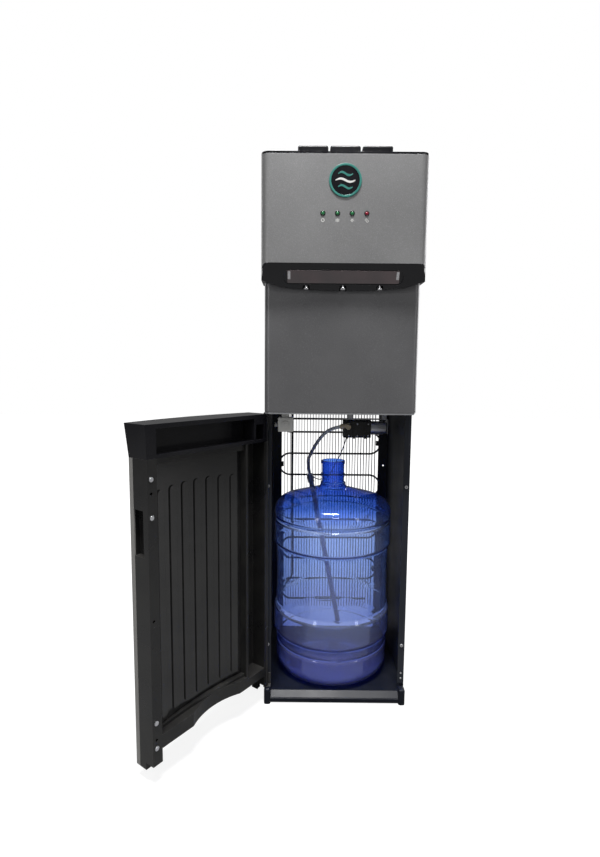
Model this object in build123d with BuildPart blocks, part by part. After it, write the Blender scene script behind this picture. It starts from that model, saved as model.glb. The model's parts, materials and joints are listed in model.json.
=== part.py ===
from build123d import *
from math import atan2, cos, degrees, pi, radians, sin, tan
import os

os.makedirs("parts", exist_ok=True)

# Free-standing bottom-load water dispenser with its door open. Millimetres, +Z up, +X to the right
# seen from the front, -Y to the front. Origin: floor level, centre of the steel cabinet's footprint.

# ---- driving dimensions ----
bottle_diameter = 271.0
bottle_height = 489.0
bottle_gap = 3.0             # each side, between the bottle and the front flanges
bottle_wall = 2.0
bottle_x = -1.5
bottle_y = -23.0             # it stands ahead of the flanges, in the bow of the door's lower rail
bottle_door_gap = 5.0        # between the bottle and that bow, with the door shut
flange_width = 14.0          # front flange of a side panel, folded inwards
rear_flange_width = 25.0
sheet = 1.2                  # steel sheet
depth_allowance = 19.0       # cabinet depth beyond the bottle's diameter
floor_height = 22.0          # bay floor
headroom = 121.0             # over the bottle, where the pump hangs
upper_height = 483.0         # from the shelf to the top of the head

slide_gap = 0.3              # bottle over the bay floor
pin_clearance = 0.05         # radial, hinge pins and rods in their bores
part_gap = 0.5               # between neighbouring covers
key_gap = 1.6                # round the push keys

cabinet_width = bottle_diameter + 2 * (bottle_gap + flange_width)
cabinet_depth = bottle_diameter + depth_allowance
shelf_height = floor_height + bottle_height + headroom
top_height = shelf_height + upper_height
half_width = cabinet_width / 2
front_y = -cabinet_depth / 2
back_y = cabinet_depth / 2

# ---- head and lower front panel ----
head_reach = 80.0            # head front ahead of the flange plane
head_side = 2.5              # head wider than the cabinet, each side
head_radius = 15.0
shell_wall = 3.0
skin_thickness = 2.0
skin_height = 198.0          # the head's textured front skin
chin_height = 48.0           # from the skin's lower edge down to the chin's lowest point
chin_slope = 18.4            # how far the chin's foot lies behind the head front
skin_drop = 12.0             # skin corners beside the chin
panel_reach = 52.0
panel_bow = 3.0
panel_wall = 2.5
panel_radius = 10.0
panel_height = 251.0
trim_height = 3.0
head_front_y = front_y - head_reach
skin_bottom = top_height - skin_height
chin_bottom = skin_bottom - chin_height + 0.5
panel_front_y = front_y - panel_reach
panel_bottom = shelf_height + trim_height
panel_top = panel_bottom + panel_height
apron_back_y = panel_front_y - panel_bow - part_gap
head_half = half_width + head_side
slope_angle = degrees(atan2(chin_slope, skin_bottom - chin_bottom))

# ---- keys ----
key_width = 56.0
key_pitch = 59.5
key_depth = 44.0
key_top = 12.5               # above the head's top
key_wall = 3.0
key_angle = 6.0
rod_diameter = 3.0
key_front_y = head_front_y + 5.5
key_back_y = key_front_y + key_depth
rod_y = key_back_y - 5.0
rod_z = top_height - shell_wall - 2.2
spout_pitch = 70.0
stem_y = head_front_y + 25.0
stem_diameter = 6.0
stem_gap = 0.6

# ---- door ----
hinge_x = -half_width + 3.5
hinge_y = front_y - 8.0
door_open = 126.5            # how far the door stands open at rest
hinge_pin = 5.0
knuckle = 5.0                # radius of the door's edge round the hinge axis
door_gap = 3.0               # under the trim
door_bottom = floor_height + 2.0
door_top = shelf_height - door_gap
door_left = -2.0             # door edges, measured from the hinge axis
door_right = cabinet_width - 4.0
door_inner = 4.0             # inner plane, towards the cabinet
door_edge = -43.0            # outer face at both edges
door_crown = -58.0           # outer face at the middle
skin_wall = 2.5
post_width = 20.0
cap_height = 57.0
cap_flare = 8.0
rib_count = 7
rib_pitch = 29.5
rib_width = 15.0

door_u = (cos(radians(door_open)), -sin(radians(door_open)), 0)   # along the door's width
door_v = (sin(radians(door_open)), cos(radians(door_open)), 0)    # from its outside to its inside


def save(piece, name):
    piece.part.label = name
    export_step(piece.part, f"parts/{name}.step")


def level(z, x=0.0, y=0.0):
    return Plane(origin=(x, y, z))


def front(x, y, z):
    return Plane(origin=(x, y, z), x_dir=(1, 0, 0), z_dir=(0, -1, 0))


def rear(x, y, z):
    return Plane(origin=(x, y, z), x_dir=(-1, 0, 0), z_dir=(0, 1, 0))


def right(x, y, z):
    return Plane(origin=(x, y, z), x_dir=(0, 1, 0), z_dir=(1, 0, 0))


def door_level(z):
    return Plane(origin=(hinge_x, hinge_y, z), x_dir=door_u, z_dir=(0, 0, 1))


def door_face(u, v, z):
    """A plane on the door's inside, x along its width away from the free edge, y up."""
    origin = (
        hinge_x + door_u[0] * u + door_v[0] * v,
        hinge_y + door_u[1] * u + door_v[1] * v,
        z,
    )
    return Plane(origin=origin, x_dir=(-door_u[0], -door_u[1], 0), z_dir=door_v)


def bar(plane, radius, length, mode=Mode.ADD):
    with BuildSketch(plane) as section:
        Circle(radius)
    extrude(section.sketch, amount=length, mode=mode)


def ring(plane, outer, inner, length):
    with BuildSketch(plane) as section:
        Circle(outer)
        Circle(inner, mode=Mode.SUBTRACT)
    extrude(section.sketch, amount=length)


def slab(x, y, z, mode=Mode.ADD):
    with BuildSketch(Plane.XY.offset(z[0])) as section:
        with Locations(((x[0] + x[1]) / 2, (y[0] + y[1]) / 2)):
            Rectangle(x[1] - x[0], y[1] - y[0])
    extrude(section.sketch, amount=z[1] - z[0], mode=mode)


def door_slab(u, v, z, mode=Mode.ADD):
    with BuildSketch(door_level(z[0])) as section:
        with Locations(((u[0] + u[1]) / 2, (v[0] + v[1]) / 2)):
            Rectangle(u[1] - u[0], v[1] - v[0])
    extrude(section.sketch, amount=z[1] - z[0], mode=mode)


def corner_radii(points):
    """Radius at each inner point of a tube's route: 0.45 of the shorter run over tan(half turn)."""
    radii = []
    for before, at, after in zip(points, points[1:], points[2:]):
        first = Vector(*at) - Vector(*before)
        second = Vector(*after) - Vector(*at)
        half_turn = radians(first.get_angle(second)) / 2
        radii.append(0.45 * min(first.length, second.length) / tan(half_turn))
    return radii


def run_direction(start, end):
    return (Vector(*end) - Vector(*start)).normalized()


def tube(points, radii, diameter):
    """A round tube along straight runs joined by tangent arcs."""
    with BuildPart() as made:
        with BuildLine() as route:
            FilletPolyline(*points, radius=radii)
        start = Plane(origin=route.line @ 0, z_dir=route.line % 0)
        with BuildSketch(start):
            Circle(diameter / 2)
        sweep(path=route.line)
    return made, sum(edge.length for edge in route.edges())


# ================= cabinet =================
panel_foot = 8.0
side_top = top_height - 14.0
lump_height = 34.0
lump_width = 14.0
lump_reach = 21.0
lip_reach = 18.0
lip_top = 12.5
lip_bottom = 3.0
deck = 3.0
skirt = 3.0

with BuildPart() as base_tray:
    with BuildSketch(Plane.YZ.offset(-(half_width - lump_width))) as ramp:
        with BuildLine():
            Polyline(
                (front_y - lip_reach, lip_bottom),
                (front_y - lip_reach, lip_top),
                (front_y - lip_reach + 3, lip_top),
                (front_y - 3, floor_height),
                (front_y + 10, floor_height),
                (front_y + 10, floor_height - deck),
                (front_y - 3, floor_height - deck),
                (front_y - lip_reach + 3, lip_top - deck),
                (front_y - lip_reach + 3, lip_bottom),
                close=True,
            )
        make_face()
    extrude(ramp.sketch, amount=cabinet_width - 2 * lump_width)
    inner_half = half_width - sheet - part_gap
    slab((-inner_half, inner_half), (front_y, back_y - 2), (floor_height - deck, floor_height))
    slab((-inner_half, inner_half), (front_y, back_y - 2), (0, floor_height - deck))
    slab(
        (-inner_half + skirt, inner_half - skirt),
        (front_y + 3 + skirt, back_y - 2 - skirt),
        (0, floor_height - deck),
        mode=Mode.SUBTRACT,
    )
    slab((-8, 8), (front_y + 1, back_y - 3), (0, floor_height - deck))
    for side in (-1, 1):
        x_range = sorted((side * half_width, side * (half_width - lump_width)))
        with BuildSketch(Plane.XY) as lump:
            with Locations((sum(x_range) / 2, front_y - lump_reach / 2 - 0.4)):
                RectangleRounded(lump_width, lump_reach - 0.8, 5)
        extrude(lump.sketch, amount=lump_height)
    lump_tops = base_tray.faces().filter_by(Axis.Z).group_by(Axis.Z)[-1]
    fillet(lump_tops.edges(), radius=4)
    long_edges = base_tray.edges().filter_by(Axis.X).filter_by(lambda e: e.length > 200)
    fillet(long_edges.group_by(Axis.Y)[0].sort_by(Axis.Z)[-1], radius=2)
save(base_tray, "base_tray")


def screw_hole(plane, radius=2.0, depth=4.0):
    bar(plane, radius, depth, mode=Mode.SUBTRACT)


flange_screws = (
    shelf_height - 156.0,
    floor_height + 103.0,
)
small_screws = (lump_height + 28.0, lump_height + 16.0)
screw_x = half_width - flange_width / 2
rear_hole_x = half_width - 11.0


def side_panel(side):
    with BuildPart() as panel:
        with BuildSketch(Plane.XY.offset(panel_foot)) as section:
            with BuildLine():
                Polyline(
                    (side * (half_width - flange_width), front_y),
                    (side * half_width, front_y),
                    (side * half_width, back_y),
                    (side * (half_width - rear_flange_width), back_y),
                    (side * (half_width - rear_flange_width), back_y - sheet),
                    (side * (half_width - sheet), back_y - sheet),
                    (side * (half_width - sheet), front_y + sheet),
                    (side * (half_width - flange_width), front_y + sheet),
                    close=True,
                )
            make_face()
        extrude(section.sketch, amount=side_top - panel_foot)
        outer = panel.edges().filter_by(Axis.Z).filter_by(lambda e: abs(e.center().X) > half_width - 0.1)
        fillet(outer, radius=1.5)
        flange_cut = sorted((side * (half_width - flange_width - 1), side * (half_width - sheet - 0.4)))
        slab(
            flange_cut,
            (front_y - 1, front_y + 4),
            (panel_foot - 1, lump_height + 4),
            mode=Mode.SUBTRACT,
        )
        for z in flange_screws:
            screw_hole(front(side * screw_x, front_y + 3, z))
        if side > 0:
            for z in small_screws:
                screw_hole(front(side * screw_x, front_y + 3, z), radius=1.2)
        for z in (shelf_height - 162.0, shelf_height - 277.0):
            screw_hole(rear(side * rear_hole_x, back_y - 3, z))
    return panel


left_side_panel = side_panel(-1)
save(left_side_panel, "left_side_panel")
right_side_panel = side_panel(1)
save(right_side_panel, "right_side_panel")

screw_head = 1.6
with BuildPart() as panel_screws:
    for side in (-1, 1):
        for z in flange_screws:
            bar(front(side * screw_x, front_y, z), 3.6, screw_head)
            bar(rear(side * screw_x, front_y, z), 1.6, 6)
    for z in small_screws:
        bar(front(screw_x, front_y, z), 1.9, 1.0)
        bar(rear(screw_x, front_y, z), 1.0, 4)
    heads = panel_screws.edges().filter_by(GeomType.CIRCLE).group_by(Axis.Y)[0]
    fillet(heads, radius=0.9)
save(panel_screws, "panel_screws")

shelf_half = half_width - sheet - 0.3
with BuildPart() as mid_shelf:
    slab(
        (-shelf_half, shelf_half),
        (front_y + sheet, back_y - sheet),
        (shelf_height, shelf_height + sheet),
    )
    bar(level(shelf_height - 1, 40, 60), 7, 4, mode=Mode.SUBTRACT)
    for side in (-1, 1):
        edge = sorted((side * shelf_half, side * (shelf_half - sheet)))
        slab(edge, (front_y + 20, back_y - 20), (shelf_height - 10, shelf_height))
save(mid_shelf, "mid_shelf")

louvre_count = 12
louvre_pitch = 16.0
back_panel_y = back_y - 2 * sheet - 0.2
switch_z = top_height - 60.0
switch_x = 40.0
gland_x = 100.0
gland_z = shelf_height + 50.0
drain_z = shelf_height + 30.0
drain_x = 45.0
with BuildPart() as upper_back_panel:
    with BuildSketch(rear(0, back_panel_y, 0)) as sheet_shape:
        with Locations((0, (shelf_height + side_top) / 2 + 4)):
            Rectangle(2 * shelf_half, side_top - shelf_height - 8)
        with Locations((0, shelf_height + 150)):
            with GridLocations(90, louvre_pitch, 2, louvre_count):
                SlotOverall(70, 5, mode=Mode.SUBTRACT)
        for side in (-1, 1):
            with Locations((side * switch_x, switch_z)):
                Rectangle(14.4, 22.4, mode=Mode.SUBTRACT)
            with Locations((side * drain_x - 50, drain_z)):
                Circle(7.2, mode=Mode.SUBTRACT)
        with Locations((-gland_x, gland_z)):
            Circle(6.2, mode=Mode.SUBTRACT)
    extrude(sheet_shape.sketch, amount=sheet)
save(upper_back_panel, "upper_back_panel")

top_cover_front = front_y - 1.5
with BuildPart() as top_cover:
    with BuildSketch(Plane.XY.offset(side_top)) as cover_shape:
        with Locations((0, (top_cover_front + back_y + 3) / 2)):
            RectangleRounded(2 * head_half, back_y + 3 - top_cover_front, 2)
    extrude(cover_shape.sketch, amount=top_height - side_top)
    slab(
        (-half_width + 3, half_width - 3),
        (top_cover_front + 3, back_y),
        (side_top, top_height - shell_wall),
        mode=Mode.SUBTRACT,
    )
    fillet(top_cover.faces().sort_by(Axis.Z)[-1].edges(), radius=1.5)
save(top_cover, "top_cover")

# ================= head =================
head_back_y = top_cover_front - part_gap
badge_z = top_height - 51.0
led_z = top_height - 109.0
led_xs = (-40.5, -13.5, 13.5, 40.5)
led_radius = 3.0
badge_radius = 30.0
badge_ring_width = 4.0
window_z = skin_bottom - 24.0
window_y = head_front_y + (skin_bottom - window_z) * tan(radians(slope_angle))
window_normal = (0, -cos(radians(slope_angle)), -sin(radians(slope_angle)))
recess_length = 226.0
recess_height = 27.0
recess_depth = 2.2
spout_y = head_front_y + 19.0
spout_radius = 2.3
spout_cap_radius = 5.4


def head_outline():
    """Plan of the head: flat front, rounded front corners, open run to the cabinet."""
    with BuildSketch(Plane.XY) as plan:
        with BuildLine():
            FilletPolyline(
                (-head_half, head_back_y),
                (-head_half, head_front_y),
                (head_half, head_front_y),
                (head_half, head_back_y),
                radius=head_radius,
            )
            Line((head_half, head_back_y), (-head_half, head_back_y))
        make_face()
    return plan.sketch


with BuildPart() as head_skin:
    extrude(head_outline(), amount=top_height - 4)
    with BuildSketch(Plane.XY) as inside:
        with BuildLine():
            FilletPolyline(
                (-head_half + skin_thickness, head_back_y),
                (-head_half + skin_thickness, head_front_y + skin_thickness),
                (head_half - skin_thickness, head_front_y + skin_thickness),
                (head_half - skin_thickness, head_back_y),
                radius=head_radius - skin_thickness,
            )
            Line((head_half - skin_thickness, head_back_y), (-head_half + skin_thickness, head_back_y))
        make_face()
    extrude(inside.sketch, amount=top_height, mode=Mode.SUBTRACT)
    slab((-head_half - 1, head_half + 1), (head_front_y + 11, 0), (0, top_height), mode=Mode.SUBTRACT)
    slab(
        (-head_half - 1, head_half + 1),
        (head_front_y - 1, 0),
        (-1, skin_bottom - skin_drop),
        mode=Mode.SUBTRACT,
    )
    with BuildSketch(front(0, 0, skin_bottom - 25)) as chin_window:
        RectangleRounded(2 * head_half - 3, 50, 9)
    extrude(chin_window.sketch, amount=-head_front_y + 5, mode=Mode.SUBTRACT)
    for x in led_xs:
        bar(front(x, head_front_y + 5, led_z), led_radius + 0.1, 8, mode=Mode.SUBTRACT)
save(head_skin, "head_skin")

opening_half = key_pitch + key_width / 2 + key_gap
with BuildPart() as head_shell:
    extrude(head_outline(), amount=top_height)
    with BuildSketch(front(0, head_back_y + 1, 0)) as below_chin:
        with BuildLine():
            Line((-head_half - 1, chin_bottom + 17.5), (-120, chin_bottom + 6.5))
            ThreePointArc((-120, chin_bottom + 6.5), (0, chin_bottom), (120, chin_bottom + 6.5))
            Line((120, chin_bottom + 6.5), (head_half + 1, chin_bottom + 17.5))
            Polyline((head_half + 1, chin_bottom + 17.5), (head_half + 1, -1), (-head_half - 1, -1))
            Line((-head_half - 1, -1), (-head_half - 1, chin_bottom + 17.5))
        make_face()
    extrude(below_chin.sketch, amount=head_reach + 5, mode=Mode.SUBTRACT)
    with BuildSketch(right(-head_half - 1, 0, 0)) as wedge:
        with BuildLine():
            Polyline(
                (head_front_y, skin_bottom),
                (head_front_y + chin_slope * 1.1, skin_bottom - (skin_bottom - chin_bottom) * 1.1),
                (head_front_y - 5, skin_bottom - (skin_bottom - chin_bottom) * 1.1),
                (head_front_y - 5, skin_bottom),
                close=True,
            )
        make_face()
    extrude(wedge.sketch, amount=2 * head_half + 2, mode=Mode.SUBTRACT)
    slab(
        (-head_half - 1, head_half + 1),
        (apron_back_y, head_back_y + 1),
        (0, panel_top + part_gap),
        mode=Mode.SUBTRACT,
    )
    slab(
        (-head_half + shell_wall, head_half - shell_wall),
        (apron_back_y, head_back_y + 1),
        (panel_top + part_gap + shell_wall, skin_bottom),
        mode=Mode.SUBTRACT,
    )
    slab(
        (-head_half + shell_wall, head_half - shell_wall),
        (head_front_y + shell_wall + skin_thickness, head_back_y + 1),
        (skin_bottom - 6, top_height - shell_wall),
        mode=Mode.SUBTRACT,
    )
    add(head_skin.part, mode=Mode.SUBTRACT)
    slab(
        (-opening_half, opening_half),
        (key_front_y - key_gap, key_back_y + key_gap),
        (top_height - 2 * shell_wall, top_height + 1),
        mode=Mode.SUBTRACT,
    )
    for x in led_xs:
        bar(front(x, head_front_y + 8, led_z), led_radius + 0.1, 12, mode=Mode.SUBTRACT)
    window_plane = Plane(origin=(0, window_y, window_z), x_dir=(1, 0, 0), z_dir=window_normal)
    with BuildSketch(window_plane) as recess:
        RectangleRounded(recess_length, recess_height, 12)
    extrude(recess.sketch, amount=-recess_depth, mode=Mode.SUBTRACT)
    for x in (-spout_pitch, 0, spout_pitch):
        bar(
            level(chin_bottom - 5, x, spout_y),
            spout_radius + 0.2,
            skin_bottom - chin_bottom,
            mode=Mode.SUBTRACT,
        )
        bar(level(chin_bottom - 5, x, spout_y), 7, 14, mode=Mode.SUBTRACT)
    slab((-48, 48), (head_front_y + 5, head_front_y + 11), (led_z - 22, led_z - 16))
    slab((-48, 48), (head_front_y + 5, head_front_y + 11), (led_z + 16, led_z + 22))
save(head_shell, "head_shell")

strip_length = 212.0
strip_height = 24.0
with BuildPart() as window_strip:
    strip_plane = window_plane.offset(-recess_depth)
    with BuildSketch(strip_plane) as strip:
        RectangleRounded(strip_length, strip_height, 2)
    extrude(strip.sketch, amount=1.8)
    fillet(window_strip.faces().sort_by(Axis.Y)[0].edges(), radius=0.6)
save(window_strip, "window_strip")

with BuildPart() as badge_ring:
    ring(front(0, head_front_y, badge_z), badge_radius, badge_radius - badge_ring_width, 1.8)
    fillet(badge_ring.edges().filter_by(GeomType.CIRCLE).group_by(Axis.Y)[0], radius=0.8)
save(badge_ring, "badge_ring")

with BuildPart() as badge_disc:
    bar(front(0, head_front_y, badge_z), badge_radius - badge_ring_width, 1.1)
save(badge_disc, "badge_disc")

board_y = head_front_y + 11
with BuildPart() as indicator_lenses:
    for x in led_xs:
        bar(front(x, board_y, led_z), led_radius, 11.6)
    tips = indicator_lenses.edges().filter_by(GeomType.CIRCLE).group_by(Axis.Y)[0]
    fillet(tips, radius=0.5)
save(indicator_lenses, "indicator_lenses")

with BuildPart() as control_board:
    slab((-56, 56), (board_y, board_y + 1.6), (led_z - 24, led_z + 24))
    slab((20, 44), (board_y + 1.6, board_y + 12), (led_z - 14, led_z + 4))
    slab((-40, -26), (board_y + 1.6, board_y + 10), (led_z - 10, led_z + 10))
save(control_board, "control_board")

# ---- spouts, faucets and keys ----
faucet_top = top_height - 20.0
faucet_bottom = faucet_top - 40.0
spout_tip = chin_bottom + 1.2
with BuildPart() as spout_tubes:
    for x in (-spout_pitch, 0, spout_pitch):
        bar(level(spout_tip, x, spout_y), spout_cap_radius, 4.4)
        bar(level(spout_tip + 4.4, x, spout_y), spout_radius, faucet_bottom - spout_tip - 4.4)
    caps = spout_tubes.edges().filter_by(GeomType.CIRCLE).filter_by(lambda e: e.radius > 5)
    fillet(caps, radius=1.8)
    for x in (-spout_pitch, 0, spout_pitch):
        bar(
            level(spout_tip - 1, x, spout_y),
            spout_radius - 0.8,
            faucet_bottom - spout_tip,
            mode=Mode.SUBTRACT,
        )
save(spout_tubes, "spout_tubes")

key_floor = top_height - 6.0
press_z = top_height - 9.0
stem_top = press_z - stem_gap
stem_bottom = faucet_top - 12.0
spout_keys = {"hot": -1, "room": 0, "cold": 1}

with BuildPart() as faucet_bodies:
    for step in spout_keys.values():
        x = step * spout_pitch
        bar(level(faucet_bottom, x, stem_y), 13, faucet_top - faucet_bottom)
        bar(rear(x, stem_y + 12, faucet_bottom + 18), 5, 14)
    rims = faucet_bodies.edges().filter_by(GeomType.CIRCLE).filter_by(lambda e: e.radius > 12)
    fillet(rims, radius=1.5)
    for step in spout_keys.values():
        x = step * spout_pitch
        bar(
            level(stem_bottom - 5, x, stem_y),
            stem_diameter / 2 + pin_clearance,
            30,
            mode=Mode.SUBTRACT,
        )
save(faucet_bodies, "faucet_bodies")


def faucet_stem(x):
    with BuildPart() as stem:
        bar(level(stem_bottom, x, stem_y), stem_diameter / 2, stem_top - stem_bottom)
        bar(level(stem_top - 2, x, stem_y), 5, 2)
    return stem


def push_key(x, stem_x):
    """A hollow key with a press post over its stem and two lugs on the pivot rod."""
    with BuildPart() as key:
        with BuildSketch(level(key_floor, x, (key_front_y + key_back_y) / 2)) as outline:
            RectangleRounded(key_width, key_depth, 4)
        extrude(outline.sketch, amount=key_top + 6)
        fillet(key.faces().sort_by(Axis.Z)[-1].edges(), radius=3)
        with BuildSketch(level(key_floor, x, (key_front_y + key_back_y) / 2)) as hollow:
            RectangleRounded(key_width - 2 * key_wall, key_depth - 2 * key_wall, 2)
        extrude(hollow.sketch, amount=key_top + 6 - key_wall, mode=Mode.SUBTRACT)
        bar(level(press_z, stem_x, stem_y), 4, top_height + key_top - key_wall - press_z + 0.5)
        for side in (-1, 1):
            lug = sorted((x + side * key_width / 2, x + side * (key_width / 2 - key_wall - 1)))
            slab(lug, (rod_y - 4, rod_y + 4), (rod_z - 5, rod_z + 8))
        bar(
            right(x - key_width, rod_y, rod_z),
            rod_diameter / 2 + pin_clearance,
            2 * key_width,
            mode=Mode.SUBTRACT,
        )
    return key


for name, step in spout_keys.items():
    save(push_key(step * key_pitch, step * spout_pitch), f"key_{name}")
    save(faucet_stem(step * spout_pitch), f"stem_{name}")

rod_half = key_pitch + key_width / 2 + 6
with BuildPart() as key_pivot_rod:
    bar(right(-rod_half, rod_y, rod_z), rod_diameter / 2, 2 * rod_half)
save(key_pivot_rod, "key_pivot_rod")

ear_width = key_pitch - key_width - 2
with BuildPart() as key_frame:
    slab(
        (-rod_half, rod_half),
        (key_back_y + 3, key_back_y + 7),
        (rod_z - 24, top_height - shell_wall),
    )
    for x in (-1.5, -0.5, 0.5, 1.5):
        slab(
            (x * key_pitch - ear_width / 2, x * key_pitch + ear_width / 2),
            (rod_y - 4, key_back_y + 4),
            (rod_z - 16, top_height - shell_wall - 0.5),
        )
    bar(
        right(-rod_half - 1, rod_y, rod_z),
        rod_diameter / 2 + pin_clearance,
        2 * rod_half + 2,
        mode=Mode.SUBTRACT,
    )
save(key_frame, "key_frame")

# ---- lower front panel and its trim ----


def panel_plan(inset):
    side = half_width - 2.5 - inset
    nose = panel_front_y + inset
    with BuildSketch(Plane.XY) as plan:
        with BuildLine():
            Line((-side, front_y - 1.5), (-side, nose + panel_radius))
            RadiusArc((-side, nose + panel_radius), (-side + panel_radius, nose), -panel_radius)
            ThreePointArc(
                (-side + panel_radius, nose), (0, nose - panel_bow), (side - panel_radius, nose),
            )
            RadiusArc((side - panel_radius, nose), (side, nose + panel_radius), -panel_radius)
            Line((side, nose + panel_radius), (side, front_y - 1.5))
            Line((side, front_y - 1.5), (-side, front_y - 1.5))
        make_face()
    return plan.sketch


with BuildPart() as lower_front_panel:
    extrude(panel_plan(0).moved(Location((0, 0, panel_bottom))), amount=panel_height)
    extrude(
        panel_plan(panel_wall).moved(Location((0, 0, panel_bottom + panel_wall))),
        amount=panel_height,
        mode=Mode.SUBTRACT,
    )
    slab(
        (-half_width + 5 + panel_wall, half_width - 5 - panel_wall),
        (front_y - 6, front_y),
        (panel_bottom + panel_wall, panel_top + 1),
        mode=Mode.SUBTRACT,
    )
    fillet(lower_front_panel.faces().sort_by(Axis.Z)[0].edges().sort_by(Axis.Y)[:5], radius=1.5)
save(lower_front_panel, "lower_front_panel")

with BuildPart() as panel_trim_strip:
    extrude(panel_plan(1.5).moved(Location((0, 0, shelf_height))), amount=trim_height)
    extrude(
        panel_plan(12).moved(Location((0, 0, shelf_height - 1))),
        amount=trim_height + 2,
        mode=Mode.SUBTRACT,
    )
    slab(
        (-half_width + 14, half_width - 14),
        (front_y - 15, front_y),
        (0, shelf_height + 5),
        mode=Mode.SUBTRACT,
    )
save(panel_trim_strip, "panel_trim_strip")

# ================= cooling, heating and water =================
shelf_top = shelf_height + sheet
tank_shelf_z = shelf_height + 222.0
cold_x = 72.0
hot_x = -85.0
tank_y = 40.0
cold_radius = 60.0
hot_radius = 50.0
tank_height = 160.0
coil_room = 6.0              # for the evaporator coil between tank and foam
foam_wall = 10.0
tank_floor = tank_shelf_z + sheet
supply_x = 40.0
supply_y = 60.0

with BuildPart() as tank_shelf:
    slab((-shelf_half, shelf_half), (-60, back_panel_y - 2), (tank_shelf_z, tank_shelf_z + sheet))
    for side in (-1, 1):
        edge = sorted((side * shelf_half, side * (shelf_half - sheet)))
        slab(edge, (-60, back_panel_y - 2), (tank_shelf_z - 14, tank_shelf_z))
    bar(level(tank_shelf_z - 1, supply_x, supply_y), 6, 4, mode=Mode.SUBTRACT)
save(tank_shelf, "tank_shelf")


def tank(x, radius):
    with BuildPart() as vessel:
        bar(level(tank_floor, x, tank_y), radius, tank_height)
        fillet(vessel.edges().filter_by(GeomType.CIRCLE), radius=8)
        bar(level(tank_floor + 1.5, x, tank_y), radius - 9, tank_height - 3, mode=Mode.SUBTRACT)
    return vessel


save(tank(cold_x, cold_radius), "cold_tank")
save(tank(hot_x, hot_radius), "hot_tank")

foam_inner = cold_radius + coil_room + 0.6
with BuildPart() as tank_foam:
    ring(level(tank_floor, cold_x, tank_y), foam_inner + foam_wall, foam_inner, tank_height - 10)
save(tank_foam, "tank_foam")

with BuildPart() as heater_bands:
    for z in (40, 90):
        ring(level(tank_floor + z, hot_x, tank_y), hot_radius + 3.4, hot_radius + 0.3, 24)
        slab(
            (hot_x - 8, hot_x + 8),
            (tank_y - hot_radius - 10, tank_y - hot_radius - 3),
            (tank_floor + z + 4, tank_floor + z + 20),
        )
save(heater_bands, "heater_bands")

compressor_x = -50.0
compressor_y = 35.0
grommet = 12.0
compressor_radius = 55.0
compressor_foot = shelf_top + grommet
foot_xs = (compressor_x - 62, compressor_x + 62)
foot_ys = (compressor_y - 45, compressor_y + 45)
with BuildPart() as compressor:
    bar(level(compressor_foot + 6, compressor_x, compressor_y), compressor_radius, 130)
    fillet(compressor.edges().filter_by(GeomType.CIRCLE), radius=26)
    slab(
        (foot_xs[0] - 12, foot_xs[1] + 12),
        (foot_ys[0] - 10, foot_ys[1] + 10),
        (compressor_foot, compressor_foot + 3),
    )
    slab(
        (compressor_x - 40, compressor_x + 40),
        (compressor_y - 40, compressor_y + 40),
        (compressor_foot + 3, compressor_foot + 20),
    )
    bar(level(compressor_foot + 130, compressor_x - 20, compressor_y - 10), 4, 20)
    slab(
        (compressor_x + compressor_radius - 3, compressor_x + compressor_radius + 22),
        (compressor_y - 24, compressor_y + 24),
        (compressor_foot + 36, compressor_foot + 84),
    )
    for x in foot_xs:
        for y in foot_ys:
            bar(level(compressor_foot - 1, x, y), 4.2, 6, mode=Mode.SUBTRACT)
save(compressor, "compressor")

with BuildPart() as compressor_grommets:
    for x in foot_xs:
        for y in foot_ys:
            bar(level(shelf_top, x, y), 8, grommet)
            bar(level(shelf_top + grommet, x, y), 4, 6)
save(compressor_grommets, "compressor_grommets")

line_x = compressor_x - 20
line_y = compressor_y - 10
line_top = compressor_foot + 150
suction_points = (
    (line_x, line_y, line_top),
    (line_x, line_y, tank_shelf_z - 34),
    (line_x, -75, tank_shelf_z - 34),
    (line_x + 30, -75, tank_floor + 40),
    (cold_x - 20, -75, tank_floor + 60),
    (cold_x - 20, tank_y - foam_inner - foam_wall, tank_floor + 60),
)
suction_line = tube(suction_points, 12, 6.0)[0]
save(suction_line, "suction_line")

drier_z = shelf_top + 25
with BuildPart() as filter_drier:
    bar(right(55, 110, drier_z), 9, 80)
    fillet(filter_drier.edges().filter_by(GeomType.CIRCLE), radius=6)
    bar(right(48, 110, drier_z), 2.5, 10)
    bar(right(132, 110, drier_z), 2.5, 10)
save(filter_drier, "filter_drier")

feed_z = faucet_bottom + 18
feed_end_y = stem_y + 26
tank_top = tank_floor + tank_height
feed_ends = {-1: hot_x + 15, 0: cold_x - 35, 1: cold_x}
with BuildPart() as water_tubes:
    bar(level(shelf_height - 32, supply_x, supply_y), 4, tank_floor - shelf_height + 32)
    for step, end_x in feed_ends.items():
        start_x = step * spout_pitch
        points = (
            (start_x, feed_end_y, feed_z),
            (start_x, feed_end_y + 25, feed_z),
            (end_x, tank_y, feed_z - 4 + step),
            (end_x, tank_y, tank_top),
        )
        with BuildLine() as feed_route:
            FilletPolyline(*points, radius=9)
        with BuildSketch(rear(start_x, feed_end_y, feed_z)) as feed_section:
            Circle(4)
        sweep(feed_section.sketch, path=feed_route.line)
save(water_tubes, "water_tubes")

# ---- condenser on the open back of the bay ----
pass_pitch = 57.4
pass_half = half_width - 47.0
pass_count = 9
inlet_rise = 35.2
first_pass = shelf_height - 75.0
condenser_y = back_y + 7.0
condenser_tube_radius = 2.5
wire_radius = 0.75
wire_pitch = 7.5
riser_y = back_y - 0.2
riser_x = 52.0 - half_width

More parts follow.
